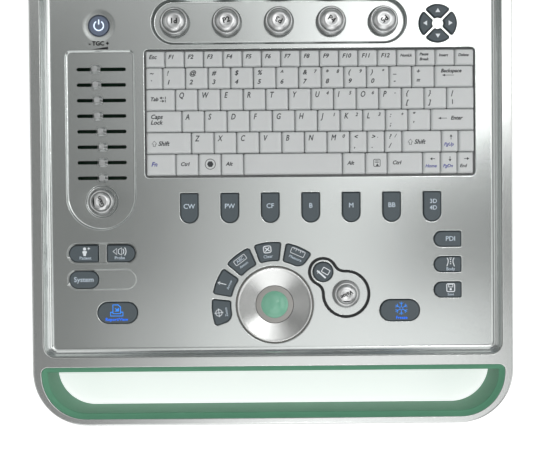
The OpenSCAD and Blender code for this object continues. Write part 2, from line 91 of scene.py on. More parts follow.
HINGE_R = 12.0
LID_OPEN = (
    Matrix.Translation((0, *HINGE)) @ Matrix.Rotation(math.radians(-LID_ANGLE), 4, "X")
    @ Matrix.Translation((0, -HINGE[0], -HINGE[1]))
)


def middle_of(node):
    """Middle of a CAD node, seen from above."""
    low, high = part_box(node)
    return (low[0] + high[0]) / 2 / MM, ((low[1] + high[1]) / 2 - FRONT) / MM


# ---- Outlines: each is a function that gives its points, grown by g ----

def arc(cx, cy, r, a0, a1, n):
    turns = [math.radians(a0 + (a1 - a0) * i / n) for i in range(n + 1)]
    return [(cx + r * math.cos(a), cy + r * math.sin(a)) for a in turns]


def rounded(cx, cy, w, h, radii, n=8):
    """Rectangle with corner radii in the order right back, left back, left front, right front."""
    radii = radii if isinstance(radii, (list, tuple)) else [radii] * 4
    corners = ((1, 1, 0), (-1, 1, 90), (-1, -1, 180), (1, -1, 270))

    def outline(g=0.0):
        points = []
        for (sx, sy, turn), r in zip(corners, radii):
            size = max(r + g, 0.02)
            x = cx + sx * (w / 2 + g - size)
            y = cy + sy * (h / 2 + g - size)
            points += arc(x, y, size, turn, turn + 90, n)
        return points
    return outline


def stadium(cx, cy, w, h, n=16):
    return rounded(cx, cy, w, h, min(w, h) / 2 - 0.05, n)


def circle(cx, cy, r, n=72):
    return lambda g=0.0: arc(cx, cy, r + g, 0, 360, n)[:-1]


def grown(outline, by):
    return lambda g=0.0: outline(g + by)


def sector(cx, cy, turn, ri, ro, half, radii, n=6):
    """Sector of a ring, with corner radii outer left, inner left, inner right, outer right."""
    reach = [ro - radii[0], ri + radii[1], ri + radii[2], ro - radii[3]]
    lean = [half - math.degrees(math.asin(r / d)) for r, d in zip(radii, reach)]

    def outline(g=0.0):
        signs = (1, 1, -1, -1)
        mids = [arc(0, 0, d, s * a, 0, 1)[0] for d, s, a in zip(reach, signs, lean)]
        spans = (
            (lean[0], half + 90), (half + 90, lean[1] + 180),
            (180 - lean[2], 270 - half), (270 - half, 360 - lean[3]),
        )
        corner = [arc(*mids[i], max(radii[i] + g, 0.02), *spans[i], n) for i in range(4)]
        outer = arc(0, 0, ro + g, -lean[3], lean[0], n)[1:-1]
        inner = arc(0, 0, ri - g, lean[1], -lean[2], n)[1:-1]
        flat = outer + corner[0] + corner[1] + inner + corner[2] + corner[3]
        c, s = math.cos(math.radians(turn)), math.sin(math.radians(turn))
        return [(cx + c * x - s * y, cy + s * x + c * y) for x, y in flat]
    return outline


def two_circles(p, rp, q, rq, blend, n=14):
    """Outline round two circles, joined on both sides by concave arcs of radius blend."""
    d = math.dist(p, q)
    heading = math.atan2(q[1] - p[1], q[0] - p[0])

    def outline(g=0.0):
        a, b, f = rp + g, rq + g, blend - g
        along = (d * d + (a + f) ** 2 - (b + f) ** 2) / (2 * d)
        off = math.sqrt((a + f) ** 2 - along ** 2)
        tp = math.degrees(math.atan2(off, along))
        tq = math.degrees(math.atan2(off, along - d))
        local = arc(d, 0, b, -tq, tq, 2 * n)
        local += arc(along, off, f, tq - 180, tp - 180, n)[1:-1]
        local += arc(0, 0, a, tp, 360 - tp, 2 * n)
        local += arc(along, -off, f, 180 - tp, 180 - tq, n)[1:-1]
        c, s = math.cos(heading), math.sin(heading)
        return [(p[0] + c * x - s * y, p[1] + s * x + c * y) for x, y in local]
    return outline


def bend(p, q, first, n=5):
    """Quarter-round profile from p to q, leaving p upright ("up") or level ("flat")."""
    points = []
    for i in range(n + 1):
        t = math.radians(90 * i / n)
        u, v = (1 - math.cos(t), math.sin(t)) if first == "up" else (math.sin(t), 1 - math.cos(t))
        points.append((p[0] + (q[0] - p[0]) * u, p[1] + (q[1] - p[1]) * v))
    return points


case_outline = rounded(0, 141.5, 404, 399, [12, 12, 46, 46], 20)
body_outline = rounded(0, 166.1, 404, 349.8, [12, 12, 1.5, 1.5], 12)
cavity_outline = rounded(0, 166.1, 398, 343.8, [9, 9, 2, 2], 8)
panel_outline = rounded(0, 156, 384, 312, 10, 12)
grip_outline = rounded(0, -30.55, 389, 43.5, [5, 5, 37.5, 37.5], 20)
lid_outline = rounded(0, 153, 396, 318, [6, 6, 16, 16], 12)
strip_outline = stadium(*STRIP, 24)
pocket_outline = rounded(*POCKET, [5, 5, 29.2, 29.2], 24)
keyboard_outline = rounded(*KEYBOARD, 2.2, 6)


# ---- Mesh building ----

SHARP = 32


class Builder:
    """Gathers the faces of one piece. Outlines run anticlockwise: a profile that climbs faces out, one
    that drops faces in, and one mesh holds as many closed shells as the piece has parts."""

    def __init__(self, along_x=False):
        self.bm = bmesh.new()
        self.along_x = along_x

    def point(self, x, y, z):
        return self.bm.verts.new((z, x, y) if self.along_x else (x, y, z))

    def ring(self, points, z):
        return [self.point(x, y, z) for x, y in points]

    def face(self, verts, mat, smooth=True):
        f = self.bm.faces.new(verts)
        f.material_index = mat
        f.smooth = smooth
        return f

    def band(self, low, high, mat=0):
        for i, a in enumerate(low):
            j = (i + 1) % len(low)
            self.face((a, low[j], high[j], high[i]), mat)

    def loft(self, outline, profile, mat=0, mats=None):
        """Rings of outline(g) at z for each (g, z) of the profile, joined by bands."""
        rings = [self.ring(outline(g), z) for g, z in profile]
        for i in range(len(rings) - 1):
            self.band(rings[i], rings[i + 1], mats[i] if mats else mat)
        return rings

    def stack(self, layers):
        """As loft, but each layer is (points, z)."""
        rings = [self.ring(points, z) for points, z in layers]
        for low, high in zip(rings, rings[1:]):
            self.band(low, high)
        return rings

    def cap(self, ring, mat=0, down=False):
        return self.face(ring[::-1] if down else ring, mat)

    def fill(self, rings, mat=0, down=False):
        """Flat face bounded by the first ring, with the others as holes in it."""
        edges = []
        for ring in rings:
            for i, v in enumerate(ring):
                pair = (v, ring[(i + 1) % len(ring)])
                edges.append(self.bm.edges.get(pair) or self.bm.edges.new(pair))
        axis = 0 if self.along_x else 2
        normal = [float(i == axis) for i in range(3)]
        made = bmesh.ops.triangle_fill(
            self.bm, edges=edges, use_beauty=False, use_dissolve=False, normal=normal)
        faces = [f for f in made["geom"] if isinstance(f, bmesh.types.BMFace)]
        for f in faces:
            f.normal_update()
            if (f.normal[axis] < 0) != down:
                f.normal_flip()
            f.material_index = mat
            f.smooth = True

    def crown(self, ring, depth, steps):
        """Closes a ring with a shallow dome, or with a dish where depth is under 0."""
        mid = sum((v.co for v in ring), Vector()) / len(ring)
        last = ring
        for k in range(1, steps):
            s = 1 - k / steps
            lift = Vector((0, 0, depth * (1 - s * s)))
            new = [self.bm.verts.new(mid + (v.co - mid) * s + lift) for v in ring]
            self.band(last, new)
            last = new
        top = self.bm.verts.new(mid + Vector((0, 0, depth)))
        for i, v in enumerate(last):
            self.face((v, last[(i + 1) % len(last)], top), 0)

    def turned(self, cx, cy, profile, mat=0, mats=None, n=96, ribs=None):
        """Turned body from (r, z) pairs. ribs is (count, height, low z, high z) of its knurling."""
        def radius(r, z, a):
            if ribs and ribs[2] < z < ribs[3]:
                return r - ribs[1] * (0.5 + 0.5 * math.cos(ribs[0] * a)) ** 3
            return r
        last = None
        for i, (r, z) in enumerate(profile):
            turns = [2 * math.pi * k / n for k in range(n)]
            if r == 0:
                new = [self.point(cx, cy, z)]
            else:
                reach = [radius(r, z, a) for a in turns]
                new = [self.point(cx + q * math.cos(a), cy + q * math.sin(a), z)
                       for q, a in zip(reach, turns)]
            m = mats[i - 1] if mats and i else mat
            if last and len(last) == 1:
                for k in range(n):
                    self.face((last[0], new[(k + 1) % n], new[k]), m)
            elif last and len(new) == 1:
                for k in range(n):
                    self.face((last[k], last[(k + 1) % n], new[0]), m)
            elif last:
                self.band(last, new, m)
            last = new

    def block(self, cx, cy, w, d, z0, z1, r=0.5, edge=0.4, mat=0, n=4):
        """Box with rounded corners and softened top and bottom edges."""
        outline = rounded(cx, cy, w, d, r, n)
        profile = [(-edge, z0), (0, z0 + edge), (0, z1 - edge), (-edge, z1)]
        rings = self.loft(outline, profile, mat)
        self.cap(rings[0], mat, down=True)
        self.cap(rings[-1], mat)

    def decal(self, pattern, x, y, z, turn=0.0, mat=1):
        """Adds a thin flat pattern at a place. z is a height, or a function of x and y."""
        verts, faces = pattern
        c, s = math.cos(math.radians(turn)), math.sin(math.radians(turn))
        made = []
        for px, py, pz in verts:
            qx, qy = x + c * px - s * py, y + s * px + c * py
            base = z(qx, qy) if callable(z) else z
            made.append(self.point(qx, qy, base + pz))
        for f in faces:
            self.face([made[i] for i in f], mat, smooth=False)

    def done(self, name, body, materials, replaces=(), matrix=None, sharp=SHARP):
        """Turns the gathered faces into the named piece, on its body and with its materials."""
        mesh = bpy.data.meshes.new(name)
        self.bm.transform(TO_ROW @ matrix if matrix else TO_ROW)
        self.bm.to_mesh(mesh)
        self.bm.free()
        for m in materials:
            mesh.materials.append(m)
        mesh.set_sharp_from_angle(angle=math.radians(sharp))
        piece = bpy.data.objects.new(name, mesh)
        bpy.context.scene.collection.objects.link(piece)
        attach(piece, body)
        if replaces:
            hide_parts(*replaces)
        return piece


# ---- Flat patterns for legends: (vertices, faces), 0.05 mm thick ----

THICK = 0.05
made_patterns = {}


def pattern_of(curve, flatten=1.0):
    """Mesh of a curve as a pattern. The curve is used up."""
    holder = bpy.data.objects.new("pattern", curve)
    mesh = bpy.data.meshes.new_from_object(holder)
    verts = [(v.co.x, v.co.y, v.co.z * flatten) for v in mesh.vertices]
    faces = [tuple(p.vertices) for p in mesh.polygons]
    bpy.data.meshes.remove(mesh)
    bpy.data.objects.remove(holder)
    bpy.data.curves.remove(curve)
    return verts, faces


def text(words, size, shear=0.0, align="CENTER", bold=0.0, spacing=1.0, wide=1.0):
    """Generic lettering of the given size. Bold lettering is a few copies set bold apart."""
    key = (words, size, shear, align, bold, spacing, wide)
    if key not in made_patterns:
        curve = bpy.data.curves.new("lettering", "FONT")
        curve.body = words
        curve.size = size
        curve.shear = shear
        curve.align_x = align
        curve.align_y = "CENTER"
        curve.space_line = spacing
        curve.extrude = THICK
        curve.resolution_u = 3
        verts, faces = pattern_of(curve)
        plain = [(x * wide, y, z) for x, y, z in verts], faces
        copies = [(plain, bold * x, bold * y) for x, y in ((-1, 0), (1, 0), (0, -1), (0, 1))]
        made_patterns[key] = group(*copies) if bold else plain
    return made_patterns[key]


def stroke(points, width, closed=False):
    """Line of a given width through some points."""
    curve = bpy.data.curves.new("stroke", "CURVE")
    curve.dimensions = "3D"
    spline = curve.splines.new("POLY")
    spline.points.add(len(points) - 1)
    for p, (x, y) in zip(spline.points, points):
        p.co = (x, y, 0, 1)
    spline.use_cyclic_u = closed
    curve.bevel_depth = width / 2
    curve.bevel_resolution = 1
    curve.use_fill_caps = True
    return pattern_of(curve, 2 * THICK / width)


def shape(points):
    """Filled outline."""
    n = len(points)
    verts = [(x, y, -THICK) for x, y in points] + [(x, y, THICK) for x, y in points]
    faces = [tuple(range(n - 1, -1, -1)), tuple(range(n, 2 * n))]
    faces += [(i, (i + 1) % n, n + (i + 1) % n, n + i) for i in range(n)]
    return verts, faces


def disc(r, cx=0.0, cy=0.0, n=20):
    return shape(arc(cx, cy, r, 0, 360, n)[:-1])


def group(*patterns):
    """Several patterns as one. A pattern may come with its own shift, as (pattern, dx, dy)."""
    verts, faces = [], []
    for item in patterns:
        (vs, fs), dx, dy = item if len(item) == 3 else (item, 0, 0)
        start = len(verts)
        verts += [(x + dx, y + dy, z) for x, y, z in vs]
        faces += [tuple(i + start for i in f) for f in fs]
    return verts, faces


def turned_points(points, turn):
    c, s = math.cos(math.radians(turn)), math.sin(math.radians(turn))
    return [(x * c - y * s, x * s + y * c) for x, y in points]


# ---- Materials ----

def finish(name, colour, rough, metallic=0.0, vary=0.04, cloud=60.0, grain=0.01, grain_size=0.35,
           streaks=0.0, coat=0.0, glow=None, strength=0.0):
    """Procedural finish: cloudy colour, uneven gloss, fine grain and, if asked, streaks along x.
    Sizes of cloud and grain, and the grain's height, are in millimetres."""
    mat = bpy.data.materials.new(name)
    mat.use_nodes = True
    nodes, links = mat.node_tree.nodes, mat.node_tree.links
    bsdf = nodes["Principled BSDF"]
    coords = nodes.new("ShaderNodeTexCoord").outputs["Object"]

    def noise(size, detail, vector=coords):
        tex = nodes.new("ShaderNodeTexNoise")
        tex.inputs["Scale"].default_value = 1 / (size * MM)
        tex.inputs["Detail"].default_value = detail
        links.new(vector, tex.inputs["Vector"])
        return tex.outputs["Fac"]

    mix = nodes.new("ShaderNodeMix")
    mix.data_type = "RGBA"
    links.new(noise(cloud, 3.0), mix.inputs["Factor"])
    mix.inputs[6].default_value = (*[c * (1 - vary) for c in colour], 1)
    mix.inputs[7].default_value = (*[min(c * (1 + vary), 1) for c in colour], 1)
    links.new(mix.outputs[2], bsdf.inputs["Base Color"])

    gloss = nodes.new("ShaderNodeMapRange")
    gloss.inputs["To Min"].default_value = max(rough - 0.04, 0.03)
    gloss.inputs["To Max"].default_value = rough + 0.04
    source = noise(grain_size * 6, 2.0)
    if streaks:
        stretch = nodes.new("ShaderNodeMapping")
        stretch.inputs["Scale"].default_value = (0.02, 1, 1)
        links.new(coords, stretch.inputs["Vector"])
        source = noise(streaks, 2.0, stretch.outputs["Vector"])
    links.new(source, gloss.inputs["Value"])
    links.new(gloss.outputs["Result"], bsdf.inputs["Roughness"])

    bump = nodes.new("ShaderNodeBump")
    bump.inputs["Distance"].default_value = grain * MM
    bump.inputs["Strength"].default_value = 1.0
    links.new(noise(grain_size, 2.0), bump.inputs["Height"])
    links.new(bump.outputs["Normal"], bsdf.inputs["Normal"])

    bsdf.inputs["Metallic"].default_value = metallic
    bsdf.inputs["Coat Weight"].default_value = coat
    bsdf.inputs["Coat Roughness"].default_value = 0.12
    if glow:
        bsdf.inputs["Emission Color"].default_value = (*glow, 1)
        bsdf.inputs["Emission Strength"].default_value = strength
    return mat


def echo_image(name):
    """Grey speckle of an ultrasound picture, on a fan with across and down as its UV."""
    mat = bpy.data.materials.new(name)
    mat.use_nodes = True
    nodes, links = mat.node_tree.nodes, mat.node_tree.links
    bsdf = nodes["Principled BSDF"]
    uv = nodes.new("ShaderNodeTexCoord").outputs["UV"]

    def layer(scale, detail, stretch):
        place = nodes.new("ShaderNodeMapping")
        place.inputs["Scale"].default_value = stretch
        links.new(uv, place.inputs["Vector"])
        tex = nodes.new("ShaderNodeTexNoise")
        tex.inputs["Scale"].default_value = scale
        tex.inputs["Detail"].default_value = detail
        links.new(place.outputs["Vector"], tex.inputs["Vector"])
        return tex.outputs["Fac"]

    speckle = layer(60, 3, (1.6, 1, 1))
    tissue = layer(4.5, 4, (1, 1.6, 1))
    ramp = nodes.new("ShaderNodeValToRGB")
    ramp.color_ramp.elements[0].position = 0.42
    ramp.color_ramp.elements[1].position = 0.66
    links.new(tissue, ramp.inputs["Fac"])
    multiply = nodes.new("ShaderNodeMath")
    multiply.operation = "MULTIPLY"
    links.new(speckle, multiply.inputs[0])
    links.new(ramp.outputs["Color"], multiply.inputs[1])
    contrast = nodes.new("ShaderNodeValToRGB")
    contrast.color_ramp.elements[0].position = 0.12
    contrast.color_ramp.elements[1].position = 0.62
    contrast.color_ramp.elements[1].color = (0.85, 0.88, 0.9, 1)
    links.new(multiply.outputs[0], contrast.inputs["Fac"])
    bsdf.inputs["Base Color"].default_value = (0.01, 0.01, 0.012, 1)
    bsdf.inputs["Roughness"].default_value = 0.3
    links.new(contrast.outputs["Color"], bsdf.inputs["Emission Color"])
    bsdf.inputs["Emission Strength"].default_value = 0.9
    return mat


SILVER = finish("silver_paint", (0.70, 0.72, 0.71), 0.22, 0.92, vary=0.03, grain=0.0012, grain_size=0.3)
CASE = finish("case_paint", (0.40, 0.415, 0.41), 0.34, 0.75, vary=0.04, grain=0.003, grain_size=0.3)
DECK = finish("panel_paint", (0.68, 0.71, 0.70), 0.20, 0.92, vary=0.03, grain=0.0012, grain_size=0.3)
KNOB = finish("knob_plate", (0.72, 0.73, 0.73), 0.30, 1.0, vary=0.02, grain=0.0006)
SLIDE = finish("slider_plate", (0.60, 0.61, 0.61), 0.34, 0.95, vary=0.04, grain=0.001)
# Darker copy of the knob metal for the skirt and the gap inside the bead: painted shade.
KNOB_SHADE = finish("knob_painted_shade", (0.30, 0.31, 0.31), 0.34, 0.9, vary=0.05, grain=0.004)
RING = finish("ring_metal", (0.72, 0.73, 0.72), 0.24, 1.0, vary=0.02, grain=0.0008)
# Black for the floors of grooves and the insides of slots, where shade falls: painted shade.
GROOVE_SHADE = finish("groove_painted_shade", (0.012, 0.014, 0.015), 0.5, vary=0.2)
GREEN = finish("green_soft", (0.12, 0.345, 0.215), 0.55, vary=0.08, cloud=18, grain=0.03, grain_size=0.5)
SLATE = finish("key_silicone", (0.095, 0.120, 0.135), 0.52, vary=0.05, cloud=5, grain=0.02, grain_size=0.3)
WHITE_INK = finish("white_ink", (0.75, 0.78, 0.80), 0.6, vary=0.05, glow=(0.8, 0.9, 1.0), strength=0.15)
CAP = finish("keycap_plastic", (0.74, 0.76, 0.76), 0.42, vary=0.02, cloud=8, grain=0.008, grain_size=0.3)
CAP_INK = finish("keycap_ink", (0.045, 0.05, 0.055), 0.6, vary=0.1)
FN_INK = finish("keycap_blue_ink", (0.10, 0.11, 0.42), 0.55, vary=0.1)
BLACK_INK = finish("black_ink", (0.010, 0.011, 0.012), 0.7, vary=0.1)
BLUE_GLOW = finish("blue_backlight", (0.02, 0.16, 0.62), 0.4, glow=(0.03, 0.30, 1.0), strength=0.6)
POWER_CAP = finish("power_cap", (0.17, 0.21, 0.30), 0.35, vary=0.05, grain=0.004, coat=0.3)
WHITE_GLOW = finish("white_backlight", (0.8, 0.85, 0.95), 0.4, glow=(0.62, 0.78, 1.0), strength=0.9)
BALL_GREEN = finish("ball_resin", (0.25, 0.57, 0.41), 0.08, vary=0.04, cloud=6, grain=0.0003)
BEZEL_GREY = finish("ball_bezel", (0.42, 0.41, 0.39), 0.5, vary=0.05, grain=0.01)
TRAY = finish("keyboard_tray", (0.60, 0.61, 0.61), 0.6, vary=0.05)
RUBBER = finish("foot_rubber", (0.02, 0.02, 0.021), 0.75, vary=0.15, cloud=5, grain=0.04)
DARK = finish("dark_plastic", (0.035, 0.038, 0.042), 0.45, vary=0.08, cloud=30, grain=0.02, grain_size=0.5)
BOARD = finish("solder_mask", (0.015, 0.10, 0.045), 0.35, vary=0.2, cloud=9, grain=0.01)
BEZEL_PLASTIC = finish("lid_bezel", (0.50, 0.51, 0.52), 0.45, vary=0.05, cloud=30, grain=0.02,
                       grain_size=0.5)
CELL = finish("battery_wrap", (0.06, 0.065, 0.075), 0.4, vary=0.1)
STEEL = finish("ground_steel", (0.56, 0.57, 0.58), 0.25, 1.0, vary=0.04, streaks=0.4)
SCREW = finish("black_steel", (0.10, 0.10, 0.11), 0.35, 1.0, vary=0.1)
GLASS = finish("screen_film", (0.008, 0.009, 0.011), 0.16, vary=0.02, grain=0.0006)
LINE_GLOW = finish("screen_lines", (0.1, 0.12, 0.13), 0.4, glow=(0.55, 0.75, 0.8), strength=0.7)
BAR_GLOW = finish("screen_bar", (0.03, 0.05, 0.07), 0.4, glow=(0.08, 0.16, 0.22), strength=0.8)
AMBER_GLOW = finish("screen_marks", (0.2, 0.15, 0.02), 0.4, glow=(0.9, 0.6, 0.1), strength=0.8)
GOLD = finish("contact_gold", (0.62, 0.45, 0.16), 0.3, 1.0, vary=0.05)
ECHO = echo_image("echo_image")


# ---- Case ----

def frame_shell():
    """Silver upper case, open over the control panel, in the handle and underneath."""
    b = Builder()
    edge, ledge, roof, split = 1.6, 44, 55, SPLIT_Z + 0.2
    outer = b.loft(case_outline, [(-2.2, split), (-0.5, split), (0, split + 0.5)]
                   + bend((0, RIM_Z - edge), (-edge, RIM_Z), "up", 8) + [(-edge - 0.4, RIM_Z)])
    inner, seat_z = SEAM + 2.2, PLATE_Z - 0.05
    seat = b.loft(panel_outline, [(SEAM + 0.9, RIM_Z)]
                  + bend((SEAM + 0.6, RIM_Z), (SEAM, RIM_Z - 0.6), "flat", 4)
                  + [(SEAM, seat_z), (-4, seat_z), (-4, ledge), (inner, ledge), (inner, roof)])
    gap = b.loft(grip_outline, [(0.9, RIM_Z)] + bend((0.6, RIM_Z), (0.05, RIM_Z - 0.55), "flat", 4)
                 + [(0.05, split)])
    b.fill([outer[-1], seat[0], gap[0]])
    inside = b.loft(cavity_outline, [(0, roof), (0, split)])
    b.fill([inside[0], seat[-1]], down=True)
    b.fill([outer[0], inside[-1], gap[-1]], down=True)
    b.done("frame_shell", "console", [SILVER], ["case_frame"])
    for side in (-1, 1):
        tower(side)


def tower(side):
    """One hinge tower: a rounded block with a capped end."""
    b = Builder(along_x=True)
    top = HINGE[1] + HINGE_R
    z_mid = (RIM_Z - 0.5 + top) / 2
    radii = [HINGE_R, HINGE_R, 0.4, 0.4]
    outline = rounded(HINGE[0], z_mid, 2 * HINGE_R, 2 * (top - z_mid), radii, 16)
    x0, x1 = sorted((side * 140, side * 190))
    rings = b.loft(outline, bend((-1.2, x0), (0, x0 + 1.2), "flat", 4)
                   + bend((0, x1 - 1.2), (-1.2, x1), "up", 4))
    b.cap(rings[0], down=True)
    b.cap(rings[-1])
    low, high = sorted((side * 189, side * 190.3))
    rings = b.loft(circle(*HINGE, 7.5, 48), bend((-0.4, low), (0, low + 0.4), "flat", 2)
                   + bend((0, high - 0.4), (-0.4, high), "up", 2), 1)
    b.cap(rings[0], 1, down=True)
    b.cap(rings[-1], 1)
    name = "hinge_tower_" + ("left" if side < 0 else "right")
    b.done(name, "console", [SILVER, DARK])


def bottom_shell():
    """Bottom case as a closed tub, with its openings cut."""
    b = Builder()
    edge, low, wall = 6, 4, 3
    rings = b.loft(body_outline, [(-edge - 0.6, low)] + bend((-edge, low), (0, low + edge), "flat", 8)
                   + [(0, BOTTOM_TOP - 0.5), (-0.5, BOTTOM_TOP), (-wall, BOTTOM_TOP), (-wall, low + wall)])
    b.cap(rings[0], down=True)
    b.cap(rings[-1])
    piece = b.done("bottom_shell", "console", [CASE, DARK], ["bottom_case"])
    cut(piece, bottom_cutters())
    loop_underside()


def bottom_cutters():
    """Side vents, probe openings and port openings of the bottom case."""
    b = Builder()
    for side in (-1, 1):
        for i in range(10):
            b.block(side * (HALF_WIDTH - 0.5), 170 + 9 * i, 12, 3, 11, 25, 1.45, 0.2, 1, 6)
    for x in PROBE_XS:
        b.block(x, REAR, 62.6, 12, 9.7, 32.3, 0.5, 0.2, 1)
    for x, w, h in PORTS:
        b.block(x, REAR, w + 0.8, 12, PORT_Z - 0.4, PORT_Z + 0.4 + h, 0.5, 0.2, 1)
    return b


def cut(piece, cutters):
    """Cuts one piece with a builder's solids, as a finished mesh."""
    mesh = bpy.data.meshes.new("cutter")
    cutters.bm.transform(TO_ROW)
    cutters.bm.to_mesh(mesh)
    cutters.bm.free()
    for m in piece.data.materials:
        mesh.materials.append(m)
    tool = bpy.data.objects.new("cutter", mesh)
    bpy.context.scene.collection.objects.link(tool)
    boolean = piece.modifiers.new("cut", "BOOLEAN")
    boolean.operation = "DIFFERENCE"
    boolean.object = tool
    boolean.solver = "EXACT"
    bpy.context.view_layer.update()
    result = bpy.data.meshes.new_from_object(piece.evaluated_get(bpy.context.evaluated_depsgraph_get()))
    piece.modifiers.clear()
    piece.data = result
    result.shade_smooth()
    result.set_sharp_from_angle(angle=math.radians(SHARP))
    bpy.data.objects.remove(tool)


def loop_underside():
    """Lower half of the handle loop, which belongs to the bottom case."""
    def u_shape(g=0.0):
        reach, r, back = HALF_WIDTH + g, 46, -8.8
        outer = arc(r - HALF_WIDTH, -12, r + g, 180, 270, 20)
        outer += arc(HALF_WIDTH - r, -12, r + g, 270, 360, 20)
        inner_half, inner_r, inner_y = 194.5 - g, 37.5 - g, -14.8
        inner = arc(inner_half - inner_r, inner_y, inner_r, 360, 270, 20)
        inner += arc(inner_r - inner_half, inner_y, inner_r, 270, 180, 20)
        return [(-reach, back)] + outer + [(reach, back), (inner_half, back)] + inner + [(-inner_half, back)]
    b = Builder()
    rings = b.loft(u_shape, bend((-2.4, LOOP_Z), (0, LOOP_Z + 2.4), "flat", 5)
                   + [(0, BOTTOM_TOP - 0.5), (-0.5, BOTTOM_TOP)])
    b.fill([rings[0]], down=True)
    b.fill([rings[-1]])
    b.done("loop_underside", "console", [CASE])


def handle_lining():
    """Soft green lining, rolled over both edges of the handle opening."""
    b = Builder()
    profile = [(-0.15, RIM_Z - 0.5)] + bend((-0.3, RIM_Z - 0.25), (-0.9, RIM_Z - 0.5), "flat", 2)
    profile += bend((-LINING + 0.7, RIM_Z - LIP + 0.2), (-LINING, RIM_Z - LIP - 0.9), "flat", 4)
    profile += bend((-LINING, LOOP_Z + LIP), (-LINING + 0.6, LOOP_Z + LIP - 0.8), "up", 3)
    profile += [(-0.9, LOOP_Z + 0.5), (-0.3, LOOP_Z + 0.3), (-0.05, LOOP_Z + 0.5)]
    rings = b.loft(grip_outline, profile + [(-0.05, RIM_Z - 0.6)])
    b.band(rings[-1], rings[0])
    b.done("handle_lining", "console", [GREEN], ["handle_grip"])


# ---- Control panel ----

def key_hole(b, outline, flats, unders):
    """Opening for a key, with a soft edge. flats and unders gather its rims."""
    rings = b.loft(outline, [(0.95, PANEL_Z)] + bend((0.7, PANEL_Z), (0, PANEL_Z - 0.6), "flat", 4)
                   + [(0, PLATE_Z)])
    flats.append(rings[0])
    unders.append(rings[-1])


def groove(b, outline, width, depth, flats, mat, edge=0.45):
    """Engraved line. Returns the rim of the island that it encloses."""
    h = width / 2
    profile = [(h + edge + 0.2, PANEL_Z)] + bend((h + edge, PANEL_Z), (h, PANEL_Z - edge), "flat", 3)
    profile += [(h, PANEL_Z - depth), (-h, PANEL_Z - depth)]
    profile += bend((-h, PANEL_Z - edge), (-h - edge, PANEL_Z), "up", 3) + [(-h - edge - 0.2, PANEL_Z)]
    mats = [0, 0, 0, 0] + [mat] * 3 + [0, 0, 0, 0]
    rings = b.loft(outline, profile, mats=mats)
    flats.append(rings[0])
    return rings[-1]


def function_keys():
    """Outline of every key in the panel: {node: outline}."""
    flange = 0.8
    keys = {}
    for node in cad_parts:
        if node.startswith("mode_") or node in OBLONG_KEYS:
            low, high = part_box(node)
            w, h = [(high[i] - low[i]) / MM - 2 * flange for i in (0, 1)]
            square = 1.2 if node.startswith("mode_") else 1.4
            is_round = OBLONG_KEYS.get(node, (0, 0, 1, 1))
            radii = [min(w, h) / 2 - 0.1 if c else square for c in is_round]
            keys[node] = rounded(*middle_of(node), w, h, radii, 12)
    for node, (turn, radii) in ARC_KEYS.items():
        keys[node] = sector(*BALL, turn, 37, 53.1, 12.7, radii, 8)
    for node, turn in PAD_KEYS.items():
        step = 1.77
        x = PAD[0] + step * math.cos(math.radians(turn))
        y = PAD[1] + step * math.sin(math.radians(turn))
        keys[node] = sector(x, y, turn, 3.4, 14.2, 45, [1.4, 1, 1, 1.4], 8)
    keys["key_cursor"] = circle(*CURSOR, 8.6)
    keys["power_button"] = circle(*POWER, 8.9)
    return keys


# Which corners of the oblong keys are round: right back, left back, left front, right front
OBLONG_KEYS = {
    "key_pdi": (0, 1, 1, 0), "key_body": (0, 1, 1, 0), "key_save": (0, 1, 1, 0),
    "key_patient": (0, 1, 1, 0), "key_probe": (1, 0, 0, 1), "key_system": (1, 1, 1, 1),
    "key_report": (1, 1, 1, 1), "key_freeze": (1, 1, 1, 1),
}
ARC_KEYS = {
    "key_zoom": (187, [2.2, 8, 2.2, 2.2]), "key_arrow": (156.8, [2.2] * 4),
    "key_annotate": (126.6, [2.2] * 4), "key_clear": (96.4, [2.2] * 4),
    "key_measure": (66.4, [2.2, 2.2, 8, 2.2]),
}
PAD_KEYS = {"arrow_right": 0, "arrow_up": 90, "arrow_left": 180, "arrow_down": 270}
KEYS = function_keys()
TRIM = 0.65
GAP = -0.1
PROBE_XS = (-119, -49)
PORT_Z = 21.6
PORTS = [(30, 15, 7), (54, 15, 7), (80, 17, 10), (112, 32, 10), (150, 12, 10)]
KNOBS = {f"knob_p{i + 1}": (7 + 44 * (i - 2), STRIP[1]) for i in range(5)}
KNOBS.update(gain_knob=GAIN, value_knob=VALUE)


